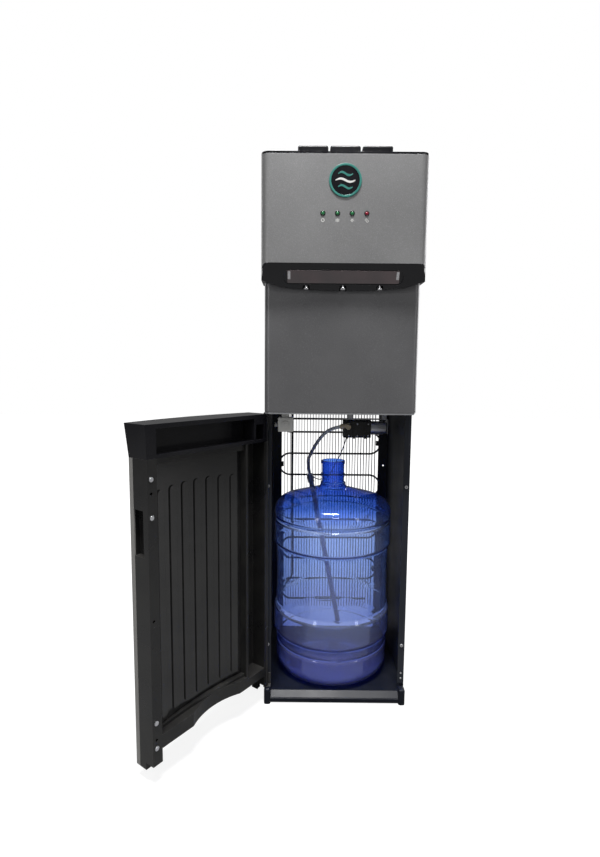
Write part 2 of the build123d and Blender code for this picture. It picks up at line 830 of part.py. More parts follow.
with BuildPart() as condenser_tube:
    with BuildLine(Plane.XZ.offset(-condenser_y)) as serpentine:
        Line((pass_half, first_pass + inlet_rise), (-pass_half, first_pass + inlet_rise))
        ThreePointArc(
            (-pass_half, first_pass + inlet_rise),
            (-pass_half - inlet_rise / 2, first_pass + inlet_rise / 2),
            (-pass_half, first_pass),
        )
        for row in range(pass_count):
            side = 1 if row % 2 == 0 else -1
            z = first_pass - row * pass_pitch
            Line((-side * pass_half, z), (side * pass_half, z))
            if row < pass_count - 1:
                ThreePointArc(
                    (side * pass_half, z),
                    (side * (pass_half + pass_pitch / 2), z - pass_pitch / 2),
                    (side * pass_half, z - pass_pitch),
                )
    with BuildSketch(right(pass_half, condenser_y, first_pass + inlet_rise)) as tube_section:
        Circle(condenser_tube_radius)
    sweep(tube_section.sketch, path=serpentine.line)
    with BuildLine() as riser:
        FilletPolyline(
            (riser_x, riser_y, shelf_height - 4),
            (riser_x, riser_y, 165),
            (riser_x - 22, riser_y, 140),
            radius=25,
        )
    with BuildSketch(level(shelf_height - 4, riser_x, riser_y)) as riser_section:
        Circle(condenser_tube_radius)
    sweep(riser_section.sketch, path=riser.line)
save(condenser_tube, "condenser_tube")

wire_count = int(2 * (pass_half + 18) / wire_pitch) + 1
wire_offset = condenser_tube_radius + wire_radius + 0.05
wire_bottom = first_pass - (pass_count - 1) * pass_pitch - 20
with BuildPart() as condenser_wires:
    for y in (condenser_y - wire_offset, condenser_y + wire_offset):
        with BuildSketch(level(wire_bottom)) as wire_sections:
            with Locations((0, y)):
                with GridLocations(wire_pitch, 1, wire_count, 1):
                    Circle(wire_radius)
        extrude(wire_sections.sketch, amount=first_pass + inlet_rise + 22 - wire_bottom)
save(condenser_wires, "condenser_wires")

clip_x = half_width - 9.0
clip_gap = condenser_tube_radius + 0.1
clip_rows = {1: (0.5, 6.5), -1: (1.5, 7.5)}   # the tube's outer bends on that side
with BuildPart() as condenser_clips:
    for side, rows in clip_rows.items():
        for row in rows:
            z = first_pass - row * pass_pitch
            leaf = sorted((side * (pass_half + 17), side * clip_x))
            wall = sorted((side * (clip_x - 2), side * clip_x))
            slab(leaf, (back_y, condenser_y - clip_gap), (z - 6, z + 6))
            slab(leaf, (condenser_y + clip_gap, condenser_y + clip_gap + 2), (z - 6, z + 6))
            slab(wall, (back_y, condenser_y + clip_gap + 2), (z - 6, z + 6))
save(condenser_clips, "condenser_clips")

# ---- pump set under the shelf ----
pump_y = 60.0
pump_z = shelf_height - 54.0
pump_left = 27.0
head_length = 66.0
motor_length = 32.0
motor_radius = 17.0
motor_x = pump_left + head_length
with BuildPart() as pump_motor:
    bar(right(motor_x, pump_y, pump_z + 1), motor_radius, motor_length)
    bar(right(motor_x + motor_length, pump_y, pump_z + 1), motor_radius - 1, 8)
    fillet(pump_motor.faces().sort_by(Axis.X)[-1].edges(), radius=3)
save(pump_motor, "pump_motor")

bracket_end = motor_x + motor_length + 9
with BuildPart() as pump_bracket:
    slab((pump_left + 2, bracket_end + 1.5), (pump_y - 14, pump_y + 14), (pump_z + 22, pump_z + 23.5))
    slab((bracket_end, bracket_end + 1.5), (pump_y - 14, pump_y + 14), (pump_z - 12, pump_z + 22))
    for x in (pump_left + 10, bracket_end - 14):
        slab((x, x + 12), (pump_y - 12, pump_y - 10.5), (pump_z + 23.5, shelf_height))
        slab((x, x + 12), (pump_y + 10.5, pump_y + 12), (pump_z + 23.5, shelf_height))
    bar(level(pump_z + 20, supply_x, supply_y), 5, 5, mode=Mode.SUBTRACT)
save(pump_bracket, "pump_bracket")

# The suction hose hangs from the elbow, behind the bottle's neck, into the parked suction lance.
hose_diameter = 8.0
lance_length = 421.0
hose_points = (
    (16, 20, 585),
    (-6, 22, 581),
    (-28, 33, 560),
    (-45, 56, 530),
    (-54, 86, 503),
    (-58, 113, 492),
    (-57.7, 136, 470.5),
    (-53, 136, 447),
)
hose_radii = corner_radii(hose_points)
print("suction hose radii", [round(r, 1) for r in hose_radii])
suction_hose, hose_length = tube(hose_points, hose_radii, hose_diameter)
print("suction hose length", round(hose_length, 1))
print("volume over section times length",
      round(suction_hose.part.volume / (pi * hose_diameter**2 / 4 * hose_length), 4))
save(suction_hose, "suction_hose")

elbow_x = pump_left + 9
with BuildPart() as elbow_fitting:
    hose_y = hose_points[0][1]
    hose_z = hose_points[0][2]
    hose_run = run_direction(hose_points[0], hose_points[1])
    bar(front(elbow_x, pump_y - 23.5, hose_z), 6.5, pump_y - 23.5 - hose_y + 7)
    bar(Plane(origin=hose_points[0], z_dir=-hose_run), 5, 20)
    bar(Plane(origin=hose_points[0], z_dir=-hose_run).offset(3), 6.5, 6)
    fillet(elbow_fitting.faces().sort_by(Axis.Y)[0].edges(), radius=2)
save(elbow_fitting, "elbow_fitting")

cable_diameter = 2.6
cable_points = (
    (36, 68, 553),
    (31, 77, 531),
    (23, 90, 506),
    (12, 104, 478),
    (-3, 119, 450),
    (-21, 130, 434),
    (-33, 135.8, 433),
    (-41.2, 136, 437.6),
)
cable_radii = corner_radii(cable_points)
print("sensor cable radii", [round(r, 1) for r in cable_radii])
sensor_cable, cable_length = tube(cable_points, cable_radii, cable_diameter)
print("sensor cable length", round(cable_length, 1))
print("volume over section times length",
      round(sensor_cable.part.volume / (pi * cable_diameter**2 / 4 * cable_length), 4))
save(sensor_cable, "sensor_cable")

with BuildPart() as pump_head:
    slab((pump_left, motor_x), (pump_y - 22, pump_y + 22), (pump_z - 22, pump_z + 22))
    fillet(pump_head.edges().filter_by(Axis.X), radius=7)
    for x in (pump_left + 6, pump_left + 22, pump_left + 50):
        slab((x, x + 5), (pump_y - 23.5, pump_y + 23.5), (pump_z - 23.5, pump_z + 18))
    bar(Plane(origin=cable_points[0], z_dir=-run_direction(cable_points[0], cable_points[1])), 3, 8)
save(pump_head, "pump_head")

lance_plane = Plane(origin=hose_points[-1], z_dir=run_direction(hose_points[-2], hose_points[-1]))
with BuildPart() as suction_lance:
    bar(lance_plane, 8.5, 22)
    bar(Plane(origin=cable_points[-1], z_dir=run_direction(cable_points[-2], cable_points[-1])), 2.6, 5)
    bar(lance_plane.offset(22), 6.5, lance_length - 22)
    bar(lance_plane.offset(lance_length - 20), 7, 20)
save(suction_lance, "suction_lance")


# ---- door switch ----
switch_box_x = (-half_width + 26.5, -half_width + 58.5)
switch_box_y = (front_y + 14, front_y + 42)
switch_box_z = (shelf_height - 43, shelf_height - 13)
plunger_z = shelf_height - 29.0
plunger_y = front_y + 28.0
plunger_radius = 4.5
with BuildPart() as door_switch_box:
    slab(switch_box_x, switch_box_y, switch_box_z)
    fillet(door_switch_box.edges(), radius=1.5)
    bar(front(sum(switch_box_x) / 2, switch_box_y[0], sum(switch_box_z) / 2), 8, 2.5)
    bar(front(sum(switch_box_x) / 2, switch_box_y[0] - 2.5, sum(switch_box_z) / 2), 4, 1)
    slab(
        (switch_box_x[0] + 8, switch_box_x[1] - 8),
        (switch_box_y[0] + 6, switch_box_y[1] - 6),
        (switch_box_z[1] - 1, shelf_height),
    )
    bar(
        right(switch_box_x[0] - 1, plunger_y, plunger_z),
        plunger_radius + pin_clearance,
        17,
        mode=Mode.SUBTRACT,
    )
save(door_switch_box, "door_switch_box")

with BuildPart() as switch_plunger:
    bar(right(switch_box_x[0] - 8, plunger_y, plunger_z), plunger_radius, 19)
    fillet(switch_plunger.faces().sort_by(Axis.X)[0].edges(), radius=1)
save(switch_plunger, "switch_plunger")

# ---- rear fittings ----
rocker_travel = 16.0
with BuildPart() as switch_bezels:
    for side in (-1, 1):
        with BuildSketch(rear(side * switch_x, back_panel_y + sheet, switch_z)) as bezel:
            Rectangle(20, 28)
            Rectangle(11, 21.8, mode=Mode.SUBTRACT)
        extrude(bezel.sketch, amount=2.2)
        with BuildSketch(rear(side * switch_x, back_panel_y - 8, switch_z)) as body:
            Rectangle(14, 22.2)
            Rectangle(11, 21.8 - 0.4, mode=Mode.SUBTRACT)
        extrude(body.sketch, amount=8 + sheet)
save(switch_bezels, "switch_bezels")


def rocker(x):
    """A rocker tipped to off; it turns about X through its centre."""
    pivot_y = back_panel_y + sheet
    with BuildPart() as made:
        with BuildSketch(right(x - 5, pivot_y, switch_z)) as outline:
            with BuildLine():
                Polyline((-6, -5), (-6, 5), (3.6, 8.4), (2.6, 0), (6.0, -8.0), close=True)
            make_face()
        extrude(outline.sketch, amount=10)
    return made


save(rocker(switch_x), "rocker_hot")
save(rocker(-switch_x), "rocker_cold")

with BuildPart() as cord_gland:
    bar(rear(gland_x, back_panel_y + sheet, gland_z), 9, 2.5)
    bar(rear(gland_x, back_panel_y - 4, gland_z), 6, 4 + sheet)
    bar(rear(gland_x, back_panel_y - 5, gland_z), 3.5, 12, mode=Mode.SUBTRACT)
save(cord_gland, "cord_gland")

with BuildPart() as drain_caps:
    for side in (-1, 1):
        x = 50 - side * drain_x
        bar(rear(x, back_panel_y - 12, drain_z), 7, 12 + sheet)
        bar(rear(x, back_panel_y + sheet, drain_z), 10, 6)
    fillet(drain_caps.edges().filter_by(GeomType.CIRCLE).group_by(Axis.Y)[-1], radius=1.2)
save(drain_caps, "drain_caps")

# ================= door =================
pin_radius = hinge_pin / 2
bracket_sheet = 1.8
pin_reach = 17.0
with BuildPart() as hinge_brackets:
    top_plate = shelf_height - 0.6 - bracket_sheet
    low_plate = lump_height
    for z in (top_plate, low_plate):
        slab((hinge_x - 5, hinge_x + 10), (hinge_y - 5, front_y), (z, z + bracket_sheet))
    slab((hinge_x - 3, hinge_x + 10), (front_y - bracket_sheet, front_y), (top_plate - 28, top_plate))
    slab((hinge_x - 3, hinge_x + 10), (front_y - bracket_sheet, front_y), (low_plate, low_plate + 26))
    bar(level(door_top - pin_reach, hinge_x, hinge_y), pin_radius, top_plate - door_top + pin_reach)
    bar(level(low_plate + bracket_sheet, hinge_x, hinge_y), pin_radius, pin_reach + 4)
save(hinge_brackets, "hinge_brackets")

door_mid = (door_left + door_right) / 2
notch_top = lump_height + 3.5
sweep_radius = 18.5
rail_low = door_bottom + 38
rail_top = rail_low + 25
cap_bottom = door_top - cap_height
rail_u = 60.0
rail_width = 6.0
recess_floor = -30.0


def door_band(z, v_edge, v_mid, thickness, u_left, u_right):
    """Plan of a curved plate: its outer arc runs through v_edge at both ends and v_mid between."""
    middle = (u_left + u_right) / 2
    inner_edge = v_edge + thickness
    with BuildSketch(door_level(z)) as band:
        with BuildLine():
            ThreePointArc((u_left, v_edge), (middle, v_mid), (u_right, v_edge))
            Line((u_right, v_edge), (u_right, inner_edge))
            ThreePointArc((u_right, inner_edge), (middle, v_mid + thickness), (u_left, inner_edge))
            Line((u_left, inner_edge), (u_left, v_edge))
        make_face()
    return band.sketch


def door_outline(z, edge_v, crown_v, u_right):
    """Plan of the whole door: bowed outside, square free edge, flat inside."""
    with BuildSketch(door_level(z)) as outline:
        with BuildLine():
            ThreePointArc((door_left, edge_v), (door_mid, crown_v), (u_right, edge_v))
            Polyline(
                (u_right, edge_v), (u_right, door_inner), (door_left, door_inner), (door_left, edge_v),
            )
        make_face()
    return outline.sketch


with BuildPart() as door_skin:
    skin_plan = door_band(door_bottom, door_edge, door_crown, skin_wall, door_left, door_right)
    extrude(skin_plan, amount=cap_bottom - door_bottom)
    door_slab(
        (door_right - skin_wall, door_right),
        (door_edge + 1, door_edge + 10),
        (door_bottom, cap_bottom),
    )
    door_slab(
        (door_left, door_left + skin_wall), (door_edge + 1, door_edge + 10), (door_bottom, cap_bottom),
    )
save(door_skin, "door_skin")

frame_back = door_edge + skin_wall + 0.5
with BuildPart() as door_frame:
    door_slab((door_left, door_right), (frame_back, door_inner), (door_bottom, cap_bottom))
    with BuildSketch(door_level(door_bottom)) as knuckle_plan:
        Circle(knuckle)
    extrude(knuckle_plan.sketch, amount=cap_bottom - door_bottom)
    free_inner = door_right - post_width
    with BuildSketch(door_level(rail_top)) as bay_plan:
        with BuildLine():
            ThreePointArc((rail_u + rail_width, -2), (door_mid + 20, -12), (free_inner, -8))
            Polyline(
                (free_inner, -8),
                (free_inner, door_inner + 1),
                (rail_u + rail_width, door_inner + 1),
                (rail_u + rail_width, -2),
            )
        make_face()
    extrude(bay_plan.sketch, amount=cap_bottom - rail_top + 1, mode=Mode.SUBTRACT)
    door_slab(
        (rail_u + rail_width, free_inner),
        (recess_floor, 0),
        (rail_top + 6, cap_bottom - 12),
        mode=Mode.SUBTRACT,
    )
    door_slab(
        (9, rail_u), (recess_floor, door_inner + 1), (rail_top - 6, cap_bottom + 1), mode=Mode.SUBTRACT,
    )
    door_slab(
        (9, free_inner),
        (frame_back - 1, door_inner + 1),
        (door_bottom - 1, rail_low),
        mode=Mode.SUBTRACT,
    )
    door_slab(
        (9, free_inner), (recess_floor - 4, -13), (rail_low - 1, rail_low + 14), mode=Mode.SUBTRACT,
    )
    with BuildSketch(door_level(rail_low - 1)) as bottle_bow:
        with Locations((bottle_x - hinge_x, bottle_y - hinge_y)):
            Circle(bottle_diameter / 2 + bottle_door_gap)
    extrude(bottle_bow.sketch, amount=rail_top - rail_low + 8, mode=Mode.SUBTRACT)
    door_slab(
        (door_left - 1, door_right + 1),
        (-16, door_inner + 1),
        (door_bottom - 1, notch_top),
        mode=Mode.SUBTRACT,
    )
    bar(door_level(door_bottom - 1), sweep_radius, notch_top + 3 - door_bottom, mode=Mode.SUBTRACT)
    door_slab(
        (door_left - 1, door_right + 1),
        (door_edge - 1, door_edge + 10.5),
        (door_bottom - 1, cap_bottom + 1),
        mode=Mode.SUBTRACT,
    )
    door_slab(
        (door_left + skin_wall + 0.5, door_right - skin_wall - 0.5),
        (frame_back, door_edge + 10.5),
        (rail_low, cap_bottom),
    )
    door_slab(
        (door_right - 12, door_right + 1),
        (-34, -8),
        (door_bottom + 382, door_bottom + 462),
        mode=Mode.SUBTRACT,
    )
    bar(door_level(door_bottom), pin_radius + pin_clearance, pin_reach + 20, mode=Mode.SUBTRACT)
    for z in (cap_bottom - 57, cap_bottom - 275, rail_low + 22):
        bar(door_face(door_right - 8, door_inner + 1, z), 2.6, -9, mode=Mode.SUBTRACT)
save(door_frame, "door_frame")

door_screw_z = (cap_bottom - 33, cap_bottom - 97, rail_low + 53, rail_low + 7)
with BuildPart() as door_screws:
    for z in door_screw_z:
        bar(door_face(door_right - 8, door_inner, z), 4.2, 1.4)
    fillet(door_screws.edges().filter_by(GeomType.CIRCLE), radius=0.5)
save(door_screws, "door_screws")

liner_left = rail_u + rail_width + 0.5
liner_right = free_inner - 0.5
liner_v = -13.0
liner_crown = -22.0
liner_wall = 2.5
rib_height = 2.2
liner_low = rail_top + 7
liner_high = cap_bottom - 13
with BuildPart() as door_ribs:
    rib_foot = liner_v + liner_wall - 0.2
    rib_crown = liner_crown + liner_wall - 0.2
    rib_band = door_band(liner_low, rib_foot, rib_crown, rib_height + 0.2, liner_left, liner_right)
    extrude(rib_band, amount=liner_high - liner_low)
    with BuildSketch(door_face((liner_left + liner_right) / 2, door_inner, 0)) as rib_shapes:
        for rib in range(rib_count):
            offset_u = (rib - (rib_count - 1) / 2) * rib_pitch
            rib_low = liner_low + 8
            rib_high = liner_high - 40 - 0.0006 * offset_u**2
            with Locations((-offset_u, (rib_low + rib_high) / 2)):
                SlotOverall(rib_high - rib_low, rib_width, rotation=90)
    extrude(rib_shapes.sketch, amount=-60, mode=Mode.INTERSECT)

with BuildPart() as door_liner:
    liner_plan = door_band(liner_low, liner_v, liner_crown, liner_wall, liner_left, liner_right)
    extrude(liner_plan, amount=liner_high - liner_low)
    add(door_ribs.part)
save(door_liner, "door_liner")

with BuildPart() as door_cap:
    cap_low = door_outline(cap_bottom, door_edge, door_crown, door_right)
    cap_high = door_outline(door_top, door_edge - cap_flare, door_crown - cap_flare, door_right + 2)
    loft([cap_low.faces()[0], cap_high.faces()[0]])
    bar(door_level(cap_bottom), knuckle, cap_height)
    door_slab(
        (rail_u - 20, free_inner),
        (recess_floor, door_inner + 1),
        (cap_bottom + 6, door_top - 8),
        mode=Mode.SUBTRACT,
    )
    door_slab(
        (12, rail_u - 24),
        (recess_floor, door_inner + 1),
        (cap_bottom + 6, door_top - 20),
        mode=Mode.SUBTRACT,
    )
    bar(
        door_level(door_top - pin_reach - 2),
        pin_radius + pin_clearance,
        pin_reach + 3,
        mode=Mode.SUBTRACT,
    )
save(door_cap, "door_cap")

# ================= bottle =================
bottle_z = floor_height + slide_gap
neck_radius = 26.0
bottle_radius = bottle_diameter / 2


bottle_plane = Plane(origin=(bottle_x, bottle_y, 0), x_dir=(1, 0, 0), z_dir=(0, -1, 0))
bottle_axis = Axis((bottle_x, bottle_y, 0), (0, 0, 1))


def bottle_section(inset):
    """Half outline of the bottle, drawn in by inset: heel, two bulged bands, dome, shoulder and neck."""
    band = bottle_radius - inset
    waist = bottle_radius - 4.5 - inset
    low = bottle_z + inset
    top = bottle_z + bottle_height
    corners = (
        ((band - 36, low), 0),
        ((waist - 1, low), 28),
        ((waist, low + 62), 6),
        ((waist - 2, low + 66), 3),
        ((waist, low + 72), 3),
        ((waist, low + 88), 6),
        ((band, low + 96), 8),
        ((band, low + 146), 10),
        ((waist, low + 158), 8),
        ((waist - 1.5, low + 228), 60),
        ((waist, low + 296), 5),
        ((band, low + 301), 6),
        ((band, low + 352), 4),
        ((band - 3, low + 357), 3),
        ((band, low + 363), 4),
        ((band, low + 396 - 2 * inset), 30),
        ((neck_radius + 8 - inset, low + 426 - 2 * inset), 12),
        ((neck_radius + 3 - inset, low + 432 - inset), 3),
        ((neck_radius + 3 - inset, low + 438 - inset), 2),
        ((neck_radius - inset, low + 440 - inset), 2),
    )
    outline = [point for point, _ in corners] + [(neck_radius - inset, top)]
    with BuildSketch(bottle_plane) as half:
        with BuildLine():
            FilletPolyline(*outline, radius=[radius for _, radius in corners[1:]])
            Polyline(outline[-1], (0, top), (0, low + 12), (60, low + 12), outline[0])
        make_face()
    return half.sketch


with BuildPart() as bottle:
    revolve(bottle_section(0), axis=bottle_axis)
    for low, high, grow in ((-7, 0, 1.4), (-34, -30, 1.6), (-38, -36, 0.8)):
        crown = level(bottle_z + bottle_height + low, bottle_x, bottle_y)
        bar(crown, neck_radius + grow, high - low)
    crown_edges = bottle.edges().filter_by(GeomType.CIRCLE).filter_by(lambda e: e.radius > neck_radius + 1)
    fillet(
        crown_edges.filter_by(lambda e: e.center().Z > bottle_z + bottle_height - 35 and e.radius < 28),
        radius=0.6,
    )
    revolve(bottle_section(bottle_wall), axis=bottle_axis, mode=Mode.SUBTRACT)
save(bottle, "bottle")
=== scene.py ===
import json
import math

import bmesh
import bpy
from mathutils import Matrix, Vector


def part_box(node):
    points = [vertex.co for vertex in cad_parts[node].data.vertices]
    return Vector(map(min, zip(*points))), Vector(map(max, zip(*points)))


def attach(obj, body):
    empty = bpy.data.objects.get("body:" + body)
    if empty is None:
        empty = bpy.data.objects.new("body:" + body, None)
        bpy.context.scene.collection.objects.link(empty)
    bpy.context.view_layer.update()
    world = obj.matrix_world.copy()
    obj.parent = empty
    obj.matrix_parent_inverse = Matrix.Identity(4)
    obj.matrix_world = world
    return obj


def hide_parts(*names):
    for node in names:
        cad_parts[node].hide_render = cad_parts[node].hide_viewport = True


# Free-standing bottom-load water dispenser, door open on a blue bottle. Metres, front towards -Y.

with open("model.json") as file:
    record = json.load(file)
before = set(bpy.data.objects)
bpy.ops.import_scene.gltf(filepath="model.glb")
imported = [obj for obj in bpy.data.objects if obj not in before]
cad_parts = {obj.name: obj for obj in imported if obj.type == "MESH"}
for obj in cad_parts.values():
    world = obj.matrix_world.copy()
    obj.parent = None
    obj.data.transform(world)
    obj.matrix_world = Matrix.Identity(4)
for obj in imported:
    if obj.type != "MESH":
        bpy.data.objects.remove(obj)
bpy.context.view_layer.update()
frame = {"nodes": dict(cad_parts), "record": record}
print("frame loaded:", len(frame["nodes"]), "parts")

# camera
cameraLook = {
    "place": (-0.0773, -1.2213, 0.7146),
    "down": 6.18,        # degrees below level
    "turn": -0.11,       # degrees to the left
    "roll": 0.5,
    "lens": 21.87,       # mm on a 36 mm sensor, long side
}


def makeCamera(look):
    data = bpy.data.cameras.new("camera")
    data.lens = look["lens"]
    data.sensor_width = 36
    data.clip_start = 0.02
    camera = bpy.data.objects.new("camera", data)
    bpy.context.scene.collection.objects.link(camera)
    turn = Matrix.Rotation(math.radians(-look["turn"]), 4, "Z")
    tilt = Matrix.Rotation(math.radians(90 - look["down"]), 4, "X")
    roll = Matrix.Rotation(math.radians(look["roll"]), 4, "Z")
    camera.matrix_world = Matrix.Translation(look["place"]) @ turn @ tilt @ roll
    bpy.context.scene.camera = camera


makeCamera(cameraLook)
print("camera placed")

# hoses: the same route points as the solid model
hose = {
    "diameter": 0.008,
    "length": 0.2194,
    "points": (
        (0.016, 0.020, 0.585),
        (-0.006, 0.022, 0.581),
        (-0.028, 0.033, 0.560),
        (-0.045, 0.056, 0.530),
        (-0.054, 0.086, 0.503),
        (-0.058, 0.113, 0.492),
        (-0.0577, 0.136, 0.4705),
        (-0.053, 0.136, 0.447),
    ),
}
cable = {
    "diameter": 0.0026,
    "length": 0.1702,
    "points": (
        (0.036, 0.068, 0.553),
        (0.031, 0.077, 0.531),
        (0.023, 0.090, 0.506),
        (0.012, 0.104, 0.478),
        (-0.003, 0.119, 0.450),
        (-0.021, 0.130, 0.434),
        (-0.033, 0.1358, 0.433),
        (-0.0412, 0.136, 0.4376),
    ),
}


def makeCord(name, route, node):
    curve = bpy.data.curves.new(name, "CURVE")
    curve.dimensions = "3D"
    curve.bevel_depth = 1            # each point's own radius is the tube's, so the box is tight
    curve.bevel_resolution = 8
    curve.use_fill_caps = True
    spline = curve.splines.new("NURBS")
    spline.points.add(len(route["points"]) - 1)
    for point, place in zip(spline.points, route["points"]):
        point.co = (*place, 1)
        point.radius = route["diameter"] / 2
    spline.order_u = 3
    spline.use_endpoint_u = True
    spline.resolution_u = 16
    piece = bpy.data.objects.new(name, curve)
    bpy.context.scene.collection.objects.link(piece)
    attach(piece, "cabinet")
    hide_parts(node)
    return piece


suctionHose = makeCord("suctionHose", hose, "suction_hose")
sensorCable = makeCord("sensorCable", cable, "sensor_cable")
print("hose and cable hung")


# shared effects
def addNode(tree, kind, **settings):
    node = tree.nodes.new(kind)
    for key, value in settings.items():
        setattr(node, key, value)
    return node


def join(tree, start, end):
    tree.links.new(start, end)


def newEffect(name, inputs, outputs):
    group = bpy.data.node_groups.new(name, "ShaderNodeTree")
    for label, kind, value in inputs:
        socket = group.interface.new_socket(name=label, in_out="INPUT", socket_type=kind)
        if value is not None:
            socket.default_value = value
    for label, kind in outputs:
        group.interface.new_socket(name=label, in_out="OUTPUT", socket_type=kind)
    return group, addNode(group, "NodeGroupInput"), addNode(group, "NodeGroupOutput")


def mathNode(tree, operation, first, second, clamp=False):
    node = addNode(tree, "ShaderNodeMath", operation=operation, use_clamp=clamp)
    for socket, value in zip(node.inputs, (first, second)):
        if isinstance(value, (int, float)):
            socket.default_value = value
        else:
            join(tree, value, socket)
    return node.outputs[0]


def rangeNode(tree, value, start, end, smooth=False):
    node = addNode(tree, "ShaderNodeMapRange")
    if smooth:
        node.interpolation_type = "SMOOTHSTEP"
    node.inputs["From Min"].default_value = start
    node.inputs["From Max"].default_value = end
    join(tree, value, node.inputs["Value"])
    return node


def makeGrainEffect():
    tree, given, result = newEffect(
        "mouldGrain",
        (("Place", "NodeSocketVector", None), ("Scale", "NodeSocketFloat", 900.0)),
        (("Height", "NodeSocketFloat"), ("Fleck", "NodeSocketFloat")),
    )
    pebble = addNode(tree, "ShaderNodeTexVoronoi", feature="F1")
    fine = addNode(tree, "ShaderNodeTexNoise")
    fine.inputs["Detail"].default_value = 3
    join(tree, given.outputs["Place"], pebble.inputs["Vector"])
    join(tree, given.outputs["Place"], fine.inputs["Vector"])
    join(tree, given.outputs["Scale"], pebble.inputs["Scale"])
    join(tree, given.outputs["Scale"], fine.inputs["Scale"])
    height = mathNode(tree, "ADD", pebble.outputs["Distance"], fine.outputs["Fac"])
    join(tree, mathNode(tree, "MULTIPLY", height, 0.5), result.inputs["Height"])
    fleck = rangeNode(tree, fine.outputs["Fac"], 0.5, 0.72, smooth=True)
    join(tree, fleck.outputs["Result"], result.inputs["Fleck"])
    return tree


def makeWearEffect():
    tree, given, result = newEffect(
        "edgeWear",
        (
            ("Place", "NodeSocketVector", None),
            ("Radius", "NodeSocketFloat", 0.0006),
            ("Amount", "NodeSocketFloat", 0.5),
            ("Scale", "NodeSocketFloat", 60.0),
        ),
        (("Mask", "NodeSocketFloat"), ("Rounded", "NodeSocketVector")),
    )
    rounded = addNode(tree, "ShaderNodeBevel", samples=4)
    surface = addNode(tree, "ShaderNodeNewGeometry")
    facing = addNode(tree, "ShaderNodeVectorMath", operation="DOT_PRODUCT")
    patches = addNode(tree, "ShaderNodeTexNoise")
    patches.inputs["Detail"].default_value = 4
    join(tree, given.outputs["Radius"], rounded.inputs["Radius"])
    join(tree, rounded.outputs["Normal"], facing.inputs[0])
    join(tree, surface.outputs["Normal"], facing.inputs[1])
    join(tree, given.outputs["Place"], patches.inputs["Vector"])
    join(tree, given.outputs["Scale"], patches.inputs["Scale"])
    edge = mathNode(tree, "SUBTRACT", 1.0, facing.outputs["Value"])
    edge = mathNode(tree, "MULTIPLY", edge, 6.0, clamp=True)      # sharpens the worn band
    edge = mathNode(tree, "MULTIPLY", edge, patches.outputs["Fac"])
    worn = mathNode(tree, "MULTIPLY", edge, given.outputs["Amount"], clamp=True)
    join(tree, worn, result.inputs["Mask"])
    join(tree, rounded.outputs["Normal"], result.inputs["Rounded"])
    return tree


def makeDustEffect():
    tree, given, result = newEffect(
        "settledDust",
        (
            ("Place", "NodeSocketVector", None),
            ("Amount", "NodeSocketFloat", 0.3),
            ("Scale", "NodeSocketFloat", 25.0),
        ),
        (("Mask", "NodeSocketFloat"),),
    )
    surface = addNode(tree, "ShaderNodeNewGeometry")
    parts = addNode(tree, "ShaderNodeSeparateXYZ")
    clouds = addNode(tree, "ShaderNodeTexNoise")
    clouds.inputs["Detail"].default_value = 6
    specks = addNode(tree, "ShaderNodeTexNoise")
    specks.inputs["Detail"].default_value = 2
    join(tree, surface.outputs["Normal"], parts.inputs[0])
    upward = rangeNode(tree, parts.outputs["Z"], -0.2, 1.0)       # more dust on faces that look up
    upward.inputs["To Min"].default_value = 0.25
    join(tree, given.outputs["Place"], clouds.inputs["Vector"])
    join(tree, given.outputs["Scale"], clouds.inputs["Scale"])
    cloudy = rangeNode(tree, clouds.outputs["Fac"], 0.38, 0.7)
    join(tree, given.outputs["Place"], specks.inputs["Vector"])
    join(tree, mathNode(tree, "MULTIPLY", given.outputs["Scale"], 30.0), specks.inputs["Scale"])
    film = mathNode(tree, "MULTIPLY", cloudy.outputs["Result"], upward.outputs["Result"])
    film = mathNode(tree, "MULTIPLY", film, mathNode(tree, "ADD", specks.outputs["Fac"], 0.4))
    film = mathNode(tree, "MULTIPLY", film, given.outputs["Amount"], clamp=True)
    join(tree, film, result.inputs["Mask"])
    return tree


def makeMottleEffect():
    tree, given, result = newEffect(
        "toneMottle",
        (
            ("Place", "NodeSocketVector", None),
            ("Tone", "NodeSocketColor", (0.2, 0.2, 0.2, 1)),
            ("Second", "NodeSocketColor", (0.3, 0.3, 0.3, 1)),
            ("Scale", "NodeSocketFloat", 8.0),
        ),
        (("Colour", "NodeSocketColor"), ("Mask", "NodeSocketFloat")),
    )
    clouds = addNode(tree, "ShaderNodeTexNoise")
    clouds.inputs["Detail"].default_value = 5
    spread = rangeNode(tree, clouds.outputs["Fac"], 0.3, 0.7)
    blend = addNode(tree, "ShaderNodeMix", data_type="RGBA")
    join(tree, given.outputs["Place"], clouds.inputs["Vector"])
    join(tree, given.outputs["Scale"], clouds.inputs["Scale"])
    join(tree, spread.outputs["Result"], blend.inputs["Factor"])
    join(tree, given.outputs["Tone"], blend.inputs["A"])
    join(tree, given.outputs["Second"], blend.inputs["B"])
    join(tree, blend.outputs["Result"], result.inputs["Colour"])
    join(tree, spread.outputs["Result"], result.inputs["Mask"])
    return tree


def makeBrushEffect():
    tree, given, result = newEffect(
        "brushedStreaks",
        (("Place", "NodeSocketVector", None), ("Scale", "NodeSocketFloat", 300.0)),
        (("Mask", "NodeSocketFloat"),),
    )
    stretch = addNode(tree, "ShaderNodeVectorMath", operation="MULTIPLY")
    stretch.inputs[1].default_value = (0.04, 1.0, 1.0)            # long along X
    streaks = addNode(tree, "ShaderNodeTexNoise")
    streaks.inputs["Detail"].default_value = 3
    join(tree, given.outputs["Place"], stretch.inputs[0])
    join(tree, stretch.outputs["Vector"], streaks.inputs["Vector"])
    join(tree, given.outputs["Scale"], streaks.inputs["Scale"])
    join(tree, streaks.outputs["Fac"], result.inputs["Mask"])
    return tree


